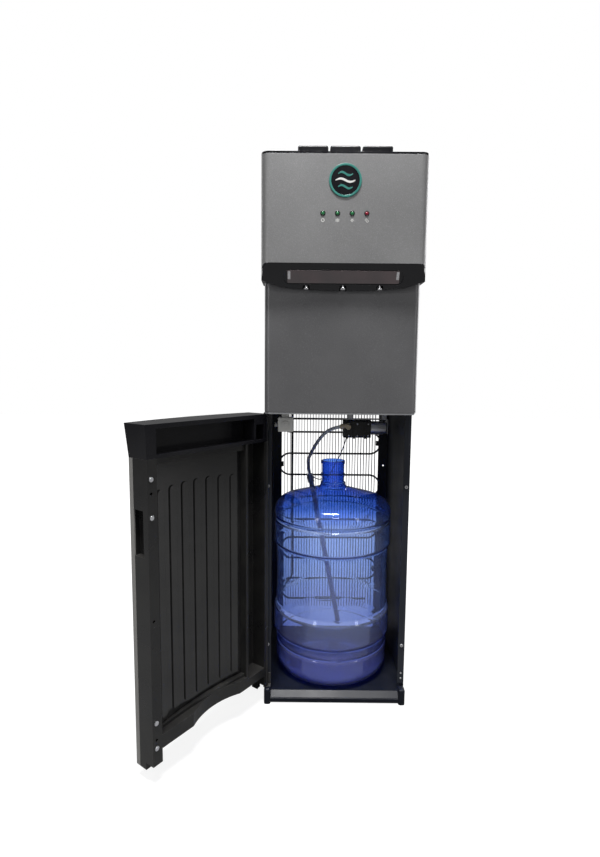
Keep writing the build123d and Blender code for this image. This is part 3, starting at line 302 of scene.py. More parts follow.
grainEffect = makeGrainEffect()
wearEffect = makeWearEffect()
dustEffect = makeDustEffect()
mottleEffect = makeMottleEffect()
brushEffect = makeBrushEffect()
print("surface effects ready")

# finishes
plainFinish = {
    "tone": (0.2, 0.2, 0.2),
    "second": None,           # the tone it drifts to
    "drift": 9.0,             # size of the drift, per metre
    "rough": 0.45,
    "roughDrift": 0.12,
    "metal": 0.0,
    "coat": 0.0,
    "coatRough": 0.06,
    "specular": 0.5,
    "grain": 900.0,           # grains per metre
    "relief": 0.00006,        # height of the grain
    "fleck": 0.0,             # share of bright specks
    "edge": 0.0005,           # radius of the rounded edges
    "wear": 0.25,
    "wearTone": (0.4, 0.4, 0.4),
    "dust": 0.1,
    "dustTone": (0.45, 0.44, 0.42),
    "dustScale": 25.0,
    "brush": 0.0,
}


def placeEffect(tree, effect, place, **values):
    node = addNode(tree, "ShaderNodeGroup", node_tree=effect)
    join(tree, place, node.inputs["Place"])
    for key, value in values.items():
        node.inputs[key].default_value = value
    return node


def tint(tree, mask, under, over):
    node = addNode(tree, "ShaderNodeMix", data_type="RGBA")
    join(tree, mask, node.inputs["Factor"])
    join(tree, under, node.inputs["A"])
    node.inputs["B"].default_value = (*over, 1)
    return node.outputs["Result"]


def makeFinish(name, **changes):
    look = {**plainFinish, **changes}
    tone = look["tone"]
    second = look["second"] or tuple(min(1.0, part * 1.25 + 0.004) for part in tone)
    material = bpy.data.materials.new(name)
    material.use_nodes = True
    tree = material.node_tree
    shader = tree.nodes["Principled BSDF"]
    place = addNode(tree, "ShaderNodeTexCoord").outputs["Object"]
    mottle = placeEffect(
        tree, mottleEffect, place, Tone=(*tone, 1), Second=(*second, 1), Scale=look["drift"]
    )
    grain = placeEffect(tree, grainEffect, place, Scale=look["grain"])
    wear = placeEffect(tree, wearEffect, place, Radius=look["edge"], Amount=look["wear"])
    dust = placeEffect(tree, dustEffect, place, Amount=look["dust"], Scale=look["dustScale"])
    colour = mottle.outputs["Colour"]
    if look["fleck"]:
        specks = mathNode(tree, "MULTIPLY", grain.outputs["Fleck"], look["fleck"])
        colour = tint(tree, specks, colour, tuple(min(1.0, part * 2.2) for part in tone))
    colour = tint(tree, wear.outputs["Mask"], colour, look["wearTone"])
    colour = tint(tree, dust.outputs["Mask"], colour, look["dustTone"])
    join(tree, colour, shader.inputs["Base Color"])
    shine = mathNode(tree, "MULTIPLY", mottle.outputs["Mask"], look["roughDrift"])
    shine = mathNode(tree, "ADD", shine, look["rough"])
    dull = mathNode(tree, "MULTIPLY", dust.outputs["Mask"], 0.5)
    shine = mathNode(tree, "ADD", shine, dull, clamp=True)
    relief = grain.outputs["Height"]
    if look["brush"]:
        streaks = placeEffect(tree, brushEffect, place, Scale=look["grain"])
        swing = mathNode(tree, "MULTIPLY", streaks.outputs["Mask"], look["brush"])
        shine = mathNode(tree, "ADD", shine, swing, clamp=True)
        relief = streaks.outputs["Mask"]
    join(tree, shine, shader.inputs["Roughness"])
    bump = addNode(tree, "ShaderNodeBump")
    bump.inputs["Distance"].default_value = look["relief"]
    join(tree, relief, bump.inputs["Height"])
    join(tree, wear.outputs["Rounded"], bump.inputs["Normal"])
    join(tree, bump.outputs["Normal"], shader.inputs["Normal"])
    shader.inputs["Metallic"].default_value = look["metal"]
    shader.inputs["Coat Weight"].default_value = look["coat"]
    shader.inputs["Coat Roughness"].default_value = look["coatRough"]
    shader.inputs["Specular IOR Level"].default_value = look["specular"]
    return material


def makeBottleBlue(name, look):
    material = bpy.data.materials.new(name)
    material.use_nodes = True
    tree = material.node_tree
    shader = tree.nodes["Principled BSDF"]
    place = addNode(tree, "ShaderNodeTexCoord").outputs["Object"]
    tone, second = (*look["tone"], 1), (*look["second"], 1)
    mottle = placeEffect(tree, mottleEffect, place, Tone=tone, Second=second, Scale=look["drift"])
    grain = placeEffect(tree, grainEffect, place, Scale=look["grain"])
    scuffs = placeEffect(tree, dustEffect, place, Amount=look["scuffs"], Scale=look["scuffScale"])
    height = addNode(tree, "ShaderNodeSeparateXYZ")
    join(tree, place, height.inputs[0])
    deeper = rangeNode(tree, height.outputs["Z"], look["deepFrom"], look["deepTo"], smooth=True)
    # painted reflection of the floor: the heel tinted lavender-grey towards the foot
    low = rangeNode(tree, height.outputs["Z"], look["heelReflectionTo"], look["heelReflectionFrom"], smooth=True)
    colour = tint(tree, deeper.outputs["Result"], mottle.outputs["Colour"], look["deepTone"])
    colour = tint(tree, low.outputs["Result"], colour, look["heelReflectionTone"])
    join(tree, colour, shader.inputs["Base Color"])
    shine = mathNode(tree, "ADD", scuffs.outputs["Mask"], look["rough"])
    join(tree, shine, shader.inputs["Roughness"])
    bump = addNode(tree, "ShaderNodeBump")
    bump.inputs["Distance"].default_value = look["relief"]
    join(tree, grain.outputs["Height"], bump.inputs["Height"])
    join(tree, bump.outputs["Normal"], shader.inputs["Normal"])
    shader.inputs["Transmission Weight"].default_value = look["clear"]
    shader.inputs["IOR"].default_value = look["ior"]
    ray = addNode(tree, "ShaderNodeLightPath")                    # lamps shine through the wall
    through = addNode(tree, "ShaderNodeBsdfTransparent")
    through.inputs["Color"].default_value = (*look["shadowTone"], 1)
    blend = addNode(tree, "ShaderNodeMixShader")
    join(tree, ray.outputs["Is Shadow Ray"], blend.inputs[0])
    join(tree, shader.outputs["BSDF"], blend.inputs[1])
    join(tree, through.outputs["BSDF"], blend.inputs[2])
    out = tree.nodes["Material Output"]
    join(tree, blend.outputs["Shader"], out.inputs["Surface"])
    depth = addNode(tree, "ShaderNodeVolumeAbsorption")
    depth.inputs["Color"].default_value = (*look["wallTone"], 1)
    depth.inputs["Density"].default_value = look["wallDensity"]
    join(tree, depth.outputs["Volume"], out.inputs["Volume"])
    return material


def makeGlow(name, tone, strength):
    material = makeFinish(
        name, tone=tone, rough=0.12, relief=0.00001, dust=0.0, wear=0.0, coat=0.6,
    )
    shader = material.node_tree.nodes["Principled BSDF"]
    shader.inputs["Emission Color"].default_value = (*tone, 1)
    shader.inputs["Emission Strength"].default_value = strength
    return material


bottleBlue = {
    "tone": (0.74, 0.80, 0.95),
    "second": (0.86, 0.90, 0.98),
    "drift": 9.0,
    "grain": 45.0,
    "relief": 0.00004,
    "rough": 0.015,
    "scuffs": 0.08,
    "scuffScale": 14.0,
    "clear": 0.92,
    "deepTone": (0.22, 0.42, 0.93),   # thicker wall at the shoulder and the neck
    "deepFrom": 0.375,
    "deepTo": 0.43,
    "heelReflectionTone": (0.62, 0.62, 0.86),    # painted reflection of the floor in the heel
    "heelReflectionFrom": 0.10,
    "heelReflectionTo": 0.20,
    "ior": 1.5,
    "wallTone": (0.20, 0.44, 0.80),
    "wallDensity": 360.0,     # per metre of wall
    "shadowTone": (0.45, 0.6, 0.95),
}

finishes = {
    "black_moulding": makeFinish(
        "satinBlack", tone=(0.006, 0.006, 0.007), rough=0.3, grain=1400.0, relief=0.00003,
        wear=0.3, wearTone=(0.10, 0.10, 0.10), dust=0.10, dustTone=(0.15, 0.145, 0.14),
    ),
    "tray_moulding": makeFinish(
        "dustyBlack", tone=(0.003, 0.004, 0.008), rough=0.30, grain=900.0, relief=0.00004,
        wear=0.8, wearTone=(0.16, 0.16, 0.16), dust=0.06, dustTone=(0.05, 0.05, 0.065),
        dustScale=60.0, specular=0.15,
    ),
    "dark_paint": makeFinish(
        "navyGreyPaint", tone=(0.010, 0.012, 0.018), rough=0.34, grain=1100.0, relief=0.00003,
        wear=0.4, wearTone=(0.12, 0.12, 0.13), dust=0.05, dustTone=(0.12, 0.12, 0.12),
        specular=0.3,
    ),
    "screw_steel": makeFinish(
        "screwSteel", tone=(0.55, 0.55, 0.56), rough=0.28, metal=1.0, grain=2500.0,
        relief=0.00002, wear=0.3, wearTone=(0.8, 0.8, 0.8), dust=0.1,
    ),
    "zinc_sheet": makeFinish(
        "zincSheet", tone=(0.42, 0.43, 0.45), second=(0.6, 0.61, 0.62), drift=70.0, rough=0.32,
        metal=1.0, grain=500.0, relief=0.00002, wear=0.3, wearTone=(0.75, 0.75, 0.75),
        dust=0.12, brush=0.12,
    ),
    "grey_texture": makeFinish(
        "texturedGrey", tone=(0.20, 0.20, 0.202), second=(0.235, 0.235, 0.237), drift=6.0,
        rough=0.44, roughDrift=0.06, metal=0.55, grain=750.0, relief=0.00022, fleck=0.35,
        wear=0.2, wearTone=(0.34, 0.34, 0.34), dust=0.05,
    ),
    "gloss_black": makeFinish(
        "glossBlack", tone=(0.004, 0.004, 0.006), rough=0.12, roughDrift=0.08, grain=160.0,
        relief=0.00002, wear=0.25, wearTone=(0.12, 0.12, 0.13), dust=0.04,
        dustTone=(0.2, 0.19, 0.18), specular=0.45,
    ),
    # smoked strip; the lighter reddish second tone, drifting in patches, is a painted reflection
    "smoked_window": makeFinish(
        "smokedStripAndReflection", tone=(0.10, 0.095, 0.098), second=(0.17, 0.13, 0.135), drift=14.0,
        rough=0.06, metal=0.9, grain=200.0, relief=0.00002, wear=0.2, dust=0.04, coat=0.5,
    ),
    "teal_ring": makeFinish(
        "tealRing", tone=(0.018, 0.17, 0.145), second=(0.028, 0.23, 0.19), drift=60.0,
        rough=0.3, grain=1500.0, relief=0.00002, wear=0.3, wearTone=(0.2, 0.5, 0.42), dust=0.05,
        coat=0.3,
    ),
    "lens_clear": makeFinish(
        "lightPipe", tone=(0.6, 0.62, 0.58), rough=0.15, grain=2000.0, relief=0.00001, dust=0.0,
        coat=0.5,
    ),
    "board_green": makeFinish(
        "boardGreen", tone=(0.02, 0.14, 0.06), second=(0.03, 0.2, 0.09), drift=120.0, rough=0.4,
        grain=700.0, relief=0.00005, dust=0.1,
    ),
    "bright_nozzle": makeFinish(
        "brightNozzle", tone=(0.72, 0.72, 0.74), rough=0.14, metal=1.0, grain=1500.0,
        relief=0.00001, wear=0.2, wearTone=(0.95, 0.95, 0.95), dust=0.05,
    ),
    "white_plastic": makeFinish(
        "offWhite", tone=(0.62, 0.62, 0.60), second=(0.7, 0.7, 0.68), rough=0.42, grain=1300.0,
        relief=0.00003, wear=0.2, wearTone=(0.8, 0.8, 0.78), dust=0.15,
        dustTone=(0.4, 0.38, 0.34),
    ),
    "silver_trim": makeFinish(
        "silverTrim", tone=(0.5, 0.51, 0.53), rough=0.3, metal=0.6, grain=1200.0,
        relief=0.00002, wear=0.3, wearTone=(0.8, 0.8, 0.8), dust=0.1,
    ),
    "stainless": makeFinish(
        "stainlessTank", tone=(0.58, 0.58, 0.57), rough=0.25, metal=1.0, grain=400.0,
        relief=0.00002, brush=0.15, dust=0.08,
    ),
    "foam": makeFinish(
        "tankFoam", tone=(0.78, 0.72, 0.5), second=(0.86, 0.8, 0.6), drift=40.0, rough=0.9,
        grain=350.0, relief=0.0004, dust=0.1,
    ),
    "black_paint": makeFinish(
        "blackWirePaint", tone=(0.008, 0.008, 0.009), rough=0.35, grain=1500.0, relief=0.00003,
        wear=0.3, wearTone=(0.12, 0.11, 0.1), dust=0.2, dustTone=(0.25, 0.24, 0.22), coat=0.2,
    ),
    "black_rubber": makeFinish(
        "blackRubber", tone=(0.018, 0.018, 0.018), rough=0.75, grain=1500.0, relief=0.00006,
        dust=0.25,
    ),
    "copper": makeFinish(
        "copperTube", tone=(0.62, 0.28, 0.16), second=(0.45, 0.2, 0.13), drift=50.0, rough=0.3,
        metal=1.0, grain=600.0, relief=0.00002, dust=0.1,
    ),
    "pale_silicone": makeFinish(
        "paleSilicone", tone=(0.7, 0.72, 0.73), rough=0.4, grain=900.0, relief=0.00002,
        dust=0.12,
    ),
    "motor_silver": makeFinish(
        "motorCan", tone=(0.6, 0.61, 0.64), rough=0.22, metal=1.0, grain=500.0, relief=0.00001,
        brush=0.14, dust=0.08,
    ),
    "beige_plastic": makeFinish(
        "beigeMoulding", tone=(0.56, 0.47, 0.32), second=(0.64, 0.55, 0.4), drift=70.0,
        rough=0.45, grain=900.0, relief=0.00004, dust=0.15,
    ),
    "clear_hose": makeFinish(
        "milkyHose", tone=(0.50, 0.57, 0.68), second=(0.66, 0.72, 0.8), drift=45.0, rough=0.25,
        grain=700.0, relief=0.00003, dust=0.08, coat=0.5,
    ),
    "grey_plastic": makeFinish(
        "greyMoulding", tone=(0.3, 0.31, 0.33), rough=0.45, grain=1200.0, relief=0.00003,
        dust=0.15,
    ),
    "rocker_red": makeFinish(
        "rockerRed", tone=(0.5, 0.02, 0.015), rough=0.25, grain=1500.0, relief=0.00002,
        coat=0.4,
    ),
    "rocker_green": makeFinish(
        "rockerGreen", tone=(0.03, 0.3, 0.08), rough=0.25, grain=1500.0, relief=0.00002,
        coat=0.4,
    ),
    "door_grey": makeFinish(
        "doorSkinGrey", tone=(0.25, 0.245, 0.235), second=(0.29, 0.285, 0.275), drift=7.0,
        rough=0.42, metal=0.3, grain=1000.0, relief=0.00010, fleck=0.2, wear=0.25,
        wearTone=(0.4, 0.4, 0.4), dust=0.06,
    ),
    "screw_cover": makeFinish(
        "silverDisc", tone=(0.66, 0.67, 0.7), rough=0.2, metal=1.0, grain=1800.0,
        relief=0.00002, dust=0.05,
    ),
    "liner_black": makeFinish(
        "linerGloss", tone=(0.004, 0.004, 0.005), second=(0.009, 0.009, 0.009), drift=12.0,
        rough=0.07, roughDrift=0.10, grain=60.0, relief=0.00010, wear=0.35,
        wearTone=(0.08, 0.08, 0.08), dust=0.16, dustTone=(0.14, 0.135, 0.12), dustScale=9.0,
        coat=0.3,
    ),
    "frame_black": makeFinish(
        "frameSatin", tone=(0.006, 0.006, 0.007), second=(0.013, 0.013, 0.012), drift=14.0,
        rough=0.24, grain=700.0, relief=0.00004, wear=0.5, wearTone=(0.12, 0.12, 0.12),
        dust=0.12, dustTone=(0.14, 0.13, 0.12), dustScale=18.0,
    ),
    "lance_pale": makeFinish(
        "lancePale", tone=(0.42, 0.47, 0.55), second=(0.55, 0.6, 0.66), drift=30.0, rough=0.35,
        grain=900.0, relief=0.00002, dust=0.1,
    ),
    "key_black": makeFinish(
        "keyBlack", tone=(0.004, 0.004, 0.006), second=(0.007, 0.007, 0.010), drift=30.0,
        rough=0.16, roughDrift=0.08, grain=300.0, relief=0.00001, wear=0.2,
        wearTone=(0.10, 0.10, 0.12), dust=0.02, dustTone=(0.12, 0.12, 0.12), specular=0.4,
    ),
    # the head's textured grey with its own roughness, metal and grain; its darker tone is painted
    # shade
    "shaded_panel_grey": makeFinish(
        "shadedPanelGrey", tone=(0.145, 0.145, 0.150), second=(0.175, 0.175, 0.180), drift=6.0,
        rough=0.34, roughDrift=0.06, metal=0.6, grain=750.0, relief=0.00016, fleck=0.3,
        wear=0.2, wearTone=(0.3, 0.3, 0.3), dust=0.05,
    ),
    "blue_bottle": makeBottleBlue("cobaltBottle", bottleBlue),
}

specialFinishes = {
    "base_tray": "tray_moulding",
    "door_liner": "liner_black",
    "door_frame": "frame_black",
    "lower_front_panel": "shaded_panel_grey",
    "suction_lance": "lance_pale",
    "key_hot": "key_black",
    "key_room": "key_black",
    "key_cold": "key_black",
    "badge_disc": "key_black",
}


def dressParts():
    slots = {part["node"]: part["material_slot"] for part in frame["record"]["subparts"]}
    for name, node in frame["nodes"].items():
        material = finishes[specialFinishes.get(name, slots[name])]
        for slot in node.material_slots:
            slot.material = material
        if not node.material_slots:
            node.data.materials.append(material)


dressParts()
suctionHose.data.materials.append(finishes["clear_hose"])
sensorCable.data.materials.append(finishes["grey_plastic"])
print("finishes on:", len(finishes))


# mesh tools
sharpAngle = math.radians(35)      # edges sharper than this stay crisp


def addPiece(name, mesh, material, body, smooth=True):
    data = bpy.data.meshes.new(name)
    bmesh.ops.recalc_face_normals(mesh, faces=mesh.faces)
    mesh.to_mesh(data)
    mesh.free()
    piece = bpy.data.objects.new(name, data)
    bpy.context.scene.collection.objects.link(piece)
    data.materials.append(material)
    if smooth:
        data.shade_smooth()
        data.set_sharp_from_angle(angle=sharpAngle)
    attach(piece, body)
    return piece


def prism(mesh, outline, depth):
    # a closed solid from a ring of points and the vector that it is pushed along
    low = [mesh.verts.new(point) for point in outline]
    high = [mesh.verts.new(Vector(point) + Vector(depth)) for point in outline]
    count = len(outline)
    mesh.faces.new(low)
    mesh.faces.new(reversed(high))
    for i in range(count):
        mesh.faces.new((low[i], low[(i + 1) % count], high[(i + 1) % count], high[i]))


def spokes(axis, steps):
    # unit vectors all round an axis
    side = axis.orthogonal().normalized()
    across = axis.cross(side)
    angles = [2 * math.pi * step / steps for step in range(steps)]
    return [side * math.cos(angle) + across * math.sin(angle) for angle in angles]


def turned(mesh, centre, axis, profile, steps=40):
    # a closed ring swept round an axis; profile points are (radius, height along the axis)
    axis = Vector(axis).normalized()
    rings = []
    for out in spokes(axis, steps):
        ring = [Vector(centre) + out * radius + axis * height for radius, height in profile]
        rings.append([mesh.verts.new(point) for point in ring])
    for step in range(steps):
        here, there = rings[step], rings[(step + 1) % steps]
        for i in range(len(profile)):
            j = (i + 1) % len(profile)
            mesh.faces.new((here[i], here[j], there[j], there[i]))


def domed(mesh, centre, axis, radius, height, steps=32, rows=6):
    # a shallow dome, closed at its foot
    axis = Vector(axis).normalized()
    around = spokes(axis, steps)
    rings = []
    for row in range(rows):
        lift = math.sin(row / rows * math.pi / 2) * height
        reach = math.cos(row / rows * math.pi / 2) * radius
        ring = [Vector(centre) + out * reach + axis * lift for out in around]
        rings.append([mesh.verts.new(point) for point in ring])
    mesh.faces.new(rings[0])
    top = mesh.verts.new(Vector(centre) + axis * height)
    for low, high in zip(rings, rings[1:]):
        for i in range(steps):
            j = (i + 1) % steps
            mesh.faces.new((low[i], low[j], high[j], high[i]))
    for i in range(steps):
        mesh.faces.new((rings[-1][i], rings[-1][(i + 1) % steps], top))


def roundedOutline(centre, right, up, width, height, radius, steps=6):
    points = []
    corners = ((1, 1, 0), (-1, 1, 90), (-1, -1, 180), (1, -1, 270))
    for toRight, toTop, start in corners:
        for step in range(steps + 1):
            angle = math.radians(start + 90 * step / steps)
            x = toRight * (width / 2 - radius) + radius * math.cos(angle)
            y = toTop * (height / 2 - radius) + radius * math.sin(angle)
            points.append(Vector(centre) + Vector(right) * x + Vector(up) * y)
    return points


def turnedPair(degrees):
    # right and up, turned in the plane of the front
    angle = math.radians(degrees)
    right = sideways * math.cos(angle) + upwards * math.sin(angle)
    up = -sideways * math.sin(angle) + upwards * math.cos(angle)
    return right, up


outFront = Vector((0, -1, 0))
outBack = Vector((0, 1, 0))
sideways = Vector((1, 0, 0))
upwards = Vector((0, 0, 1))

# badge
badge = {
    "waves": 3,
    "pitch": 0.0115,      # between the waves
    "swing": 0.0028,      # height of a wave
    "reach": 0.036,       # length of the middle wave
    "shorter": 0.24,      # how much shorter each outer wave is
    "width": 0.0042,
    "proud": 0.0004,
    "steps": 36,
    "slots": ("teal_ring", "white_plastic", "teal_ring"),
}


def makeBadgeWaves(look):
    low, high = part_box("badge_disc")
    centre = (low + high) / 2
    centre.y = low.y
    for wave in range(look["waves"]):
        offset = wave - (look["waves"] - 1) / 2
        reach = look["reach"] * (1 - look["shorter"] * abs(offset))
        mesh = bmesh.new()
        upper, lower = [], []
        for step in range(look["steps"] + 1):
            t = step / look["steps"]
            x = (t - 0.5) * reach
            z = look["swing"] * math.sin(2 * math.pi * t) - offset * look["pitch"]
            half = look["width"] / 2 * math.sin(math.pi * (0.08 + 0.84 * t)) ** 0.6   # thin ends
            upper.append(centre + Vector((x, 0, z + half)))
            lower.append(centre + Vector((x, 0, z - half)))
        prism(mesh, upper + lower[::-1], outFront * look["proud"])
        slotName = look["slots"][wave]
        addPiece(f"badgeWave.{wave}", mesh, finishes[slotName], "cabinet")


makeBadgeWaves(badge)
print("badge done")

# indicator lights and their marks
lights = {
    "tones": ((0.01, 0.13, 0.04), (0.01, 0.13, 0.04), (0.01, 0.13, 0.04), (0.20, 0.006, 0.02)),
    "bezel": 0.0050,
    "bezelProud": 0.0010,
    "gap": 0.0002,          # between a bezel and its dome
    "dome": 0.0031,
    "domeHeight": 0.0012,
    "glow": 0.10,
    "markDrop": 0.0125,     # marks under the lights
    "mark": 0.0032,
    "markProud": 0.00025,
}


def lightPlaces(look):
    # where the lights' axes meet the front of the head
    low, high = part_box("indicator_lenses")
    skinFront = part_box("head_skin")[0].y
    pipe = (high.z - low.z) / 2
    height = (low.z + high.z) / 2
    count = len(look["tones"])
    span = high.x - low.x - 2 * pipe
    across = [low.x + pipe + span * index / (count - 1) for index in range(count)]
    return [Vector((x, skinFront, height)) for x in across]


def makeLights(look):
    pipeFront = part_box("indicator_lenses")[0].y
    inner, outer, proud = look["dome"] + look["gap"], look["bezel"], look["bezelProud"]
    profile = (
        (inner, 0),
        (inner, proud * 0.8),
        (inner + 0.0004, proud),
        (outer - 0.0006, proud),
        (outer, 0),
    )
    bezels = bmesh.new()
    for index, foot in enumerate(lightPlaces(look)):
        turned(bezels, foot, outFront, profile, 36)
        dome = bmesh.new()
        domed(dome, (foot.x, pipeFront, foot.z), outFront, look["dome"], look["domeHeight"])
        glow = makeGlow(f"lightTone.{index}", look["tones"][index], look["glow"])
        addPiece(f"lightDome.{index}", dome, glow, "cabinet")
    addPiece("lightBezels", bezels, finishes["gloss_black"], "cabinet")


def makeMarks(look):
    size, height = look["mark"], look["markProud"]
    power, bars, frost, rings = [place - upwards * look["markDrop"] for place in lightPlaces(look)]
    mesh = bmesh.new()

    def stroke(centre, right, up, width, length, radius=0.0003):
        prism(mesh, roundedOutline(centre, right, up, width, length, radius, 3), outFront * height)

    def band(centre, inner, outer, steps):
        profile = ((inner, 0), (inner, height), (outer, height), (outer, 0))
        turned(mesh, centre, outFront, profile, steps)

    band(power, size * 0.62, size, 28)
    stroke(power + upwards * size * 0.8, sideways, upwards, size * 0.3, size, 0.0002)
    for bar in (-1, 0, 1):
        centre = bars + sideways * bar * size * 0.75
        stroke(centre, sideways, upwards, size * 0.38, size * (2 - 0.4 * abs(bar)))
    for turn in range(3):
        stroke(frost, *turnedPair(60 * turn), size * 2, size * 0.36)
    for step in (-1, 1):
        band(rings + (sideways - upwards) * step * size * 0.36, size * 0.42, size * 0.7, 24)
    addPiece(
        "lightMarks", mesh, finishes["white_plastic"], "cabinet", smooth=False,
    )


makeLights(lights)
makeMarks(lights)
print("lights done")

# window trim under the head
windowTrim = {
    "tabWidth": 0.005,
    "tabRibs": 4,
    "tabShort": 0.004,     # less than the window's height
    "proud": 0.0009,
    "line": 0.0011,        # height of the bright line along the foot
    "lineUp": 0.0024,      # above the foot
    "lineShort": 0.014,
    "lineProud": 0.7,      # share of the tabs' height
    "inset": 0.0012,
    "off": 0.0002,         # off the window's face
}


def makeWindowTrim(look):
    low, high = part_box("window_strip")
    slope = Vector((0, high.y - low.y, low.z - high.z)).normalized()   # down the face
    lean = Vector((0, slope.z, -slope.y))                              # out of the face
    lean = lean if lean.y < 0 else -lean
    length = ((high.y - low.y) ** 2 + (high.z - low.z) ** 2) ** 0.5
    middle = Vector((0, low.y, high.z)) + slope * (length / 2)
    middle += lean * look["off"]
    mesh = bmesh.new()
    for side in (-1, 1):
        for rib in range(look["tabRibs"]):
            x = side * (high.x - look["inset"] - look["tabWidth"] * (rib + 0.5) / look["tabRibs"])
            centre = middle + sideways * x
            width = look["tabWidth"] / look["tabRibs"] * 0.8
            tall = length - look["tabShort"]
            outline = roundedOutline(centre, sideways, -slope, width, tall, width * 0.3, 3)
            prism(mesh, outline, lean * look["proud"])
    foot = middle + slope * (length / 2 - look["lineUp"])
    span = 2 * high.x - look["lineShort"]
    outline = roundedOutline(foot, sideways, -slope, span, look["line"], 0.0004, 3)
    prism(mesh, outline, lean * look["proud"] * look["lineProud"])
    addPiece("windowTrim", mesh, finishes["bright_nozzle"], "cabinet")


makeWindowTrim(windowTrim)
print("window trim done")

# painted shade of the cross recesses in the screws: flat black crosses laid on the heads
crossShade = {
    "size": 0.0036,
    "width": 0.0008,
    "proud": 0.00006,
    "head": 0.0036,                          # radius of a screw's head
    "rows": ((0.476, 51), (0.125, 20)),      # height of the screws and the turn of their crosses
}


def makeScrewCrossShade(look):
    mesh = bmesh.new()
    low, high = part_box("panel_screws")
    for x in (low.x + look["head"], high.x - look["head"]):
        for z, turn in look["rows"]:
            for right, up in (turnedPair(turn), turnedPair(turn + 90)):
                centre = Vector((x, low.y, z))
                outline = roundedOutline(centre, right, up, look["size"], look["width"], 0.0003, 3)
                prism(mesh, outline, outFront * look["proud"])
    # flat black crosses: painted shade where the recesses would be
    addPiece(
        "screwCrossShade", mesh, finishes["black_moulding"], "cabinet", smooth=False,
    )


makeScrewCrossShade(crossShade)

# pump details
pump = {
    "screw": 0.0026,
    "screwHeight": 0.0014,
    "columns": (0.18, 0.5, 0.9),             # screw places, as shares of the pump head
    "rows": (0.22, 0.8),
    "terminal": (0.006, 0.003, 0.007),       # width, depth, height
    "terminalStep": 0.007,                   # either side of the motor's axis
}


def makePumpDetails(look):
    low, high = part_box("pump_head")
    screws = bmesh.new()
    for x in look["columns"]:
        for z in look["rows"]:
            centre = (low.x + (high.x - low.x) * x, low.y, low.z + (high.z - low.z) * z)
            domed(screws, centre, outFront, look["screw"], look["screwHeight"], 24, 4)
    addPiece("pumpScrews", screws, finishes["screw_steel"], "cabinet")
    motorLow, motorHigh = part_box("pump_motor")
    centre = (motorLow + motorHigh) / 2
    terminals = bmesh.new()
    width, depth, height = look["terminal"]
    for step in (-1, 1):
        place = Vector((motorHigh.x, centre.y + step * look["terminalStep"], centre.z))
        outline = roundedOutline(place, outBack, upwards, width, height, 0.001, 4)
        prism(terminals, outline, sideways * depth)
    addPiece("motorTerminals", terminals, finishes["white_plastic"], "cabinet")


makePumpDetails(pump)
print("screws and pump details done")

# marks moulded in the bottle
bottleMarks = {
    "bars": 3,
    "pitch": 0.006,
    "width": 0.0022,
    "height": 0.011,
    "proud": 0.0005,
    "sunk": 0.0002,       # foot of a bar inside the wall
    "level": 0.075,       # above the bottle's foot
    "waist": 0.0046,      # how far the wall there is inside the widest part
}


def makeBottleMarks(look):
    low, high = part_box("bottle")
    centre = (low + high) / 2
    radius = (high.x - low.x) / 2 - look["waist"]
    mesh = bmesh.new()
    for bar in range(look["bars"]):
        x = (bar - 1) * look["pitch"]
        y = centre.y - math.sqrt(radius**2 - x**2)
        place = Vector((centre.x + x, y + look["sunk"], low.z + look["level"]))
        outline = roundedOutline(place, sideways, upwards, look["width"], look["height"], 0.001, 4)
        prism(mesh, outline, outFront * look["proud"])
    addPiece("bottleMarks", mesh, finishes["blue_bottle"], "bottle")


makeBottleMarks(bottleMarks)
print("bottle marks done")

# back: louvre hoods and screws
louvres = {
    "rows": 12,
    "pitch": 0.016,
    "middle": 0.142,             # above the panel's foot
    "above": 0.0025,             # a hood's middle above its slot
    "reach": 0.070,
    "lift": 0.0032,
    "height": 0.0065,
    "columns": (-0.045, 0.045),
    "steps": 8,
    "thickness": 0.0006,
}


def makeHood(mesh, look, column, z, face):
    # a quarter-round scoop that closes towards its two ends
    steps = look["steps"]
    rings = []
    for end in range(steps + 1):
        t = end / steps
        x = column + (t - 0.5) * look["reach"]
        swell = math.sin(math.pi * (0.04 + 0.92 * t)) ** 0.4
        ring = []
        for step in range(steps + 1):
            angle = math.pi / 2 * step / steps
            y = face + look["lift"] * swell * math.sin(angle)
            rise = look["height"] * swell * math.cos(angle) - look["height"] * 0.5
            ring.append(mesh.verts.new((x, y, z + rise)))
        rings.append(ring)
    for here, there in zip(rings, rings[1:]):
        for i in range(steps):
            mesh.faces.new((here[i], here[i + 1], there[i + 1], there[i]))


def makeLouvres(look):
    low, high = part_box("upper_back_panel")
    mesh = bmesh.new()
    for column in look["columns"]:
        for row in range(look["rows"]):
            step = (row - (look["rows"] - 1) / 2) * look["pitch"]
            makeHood(mesh, look, column, low.z + look["middle"] + step + look["above"], high.y)
    piece = addPiece("louvreHoods", mesh, finishes["zinc_sheet"], "cabinet")
    skin = piece.modifiers.new("thickness", "SOLIDIFY")
    skin.thickness = look["thickness"]


makeLouvres(louvres)

backScrews = {
    "rows": (0.06, 0.35, 0.65, 0.94),        # as shares of the panel's height
    "inset": 0.012,
    "off": 0.0012,
    "radius": 0.0034,
    "height": 0.0018,
}


def makeBackScrews(look):
    low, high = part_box("upper_back_panel")
    screws = bmesh.new()
    for side in (-1, 1):
        x = side * (high.x - look["inset"])
        for row in look["rows"]:
            centre = (x, high.y + look["off"], low.z + (high.z - low.z) * row)
            domed(screws, centre, outBack, look["radius"], look["height"], 24, 4)
    addPiece("backScrews", screws, finishes["screw_steel"], "cabinet")


makeBackScrews(backScrews)
print("back done")

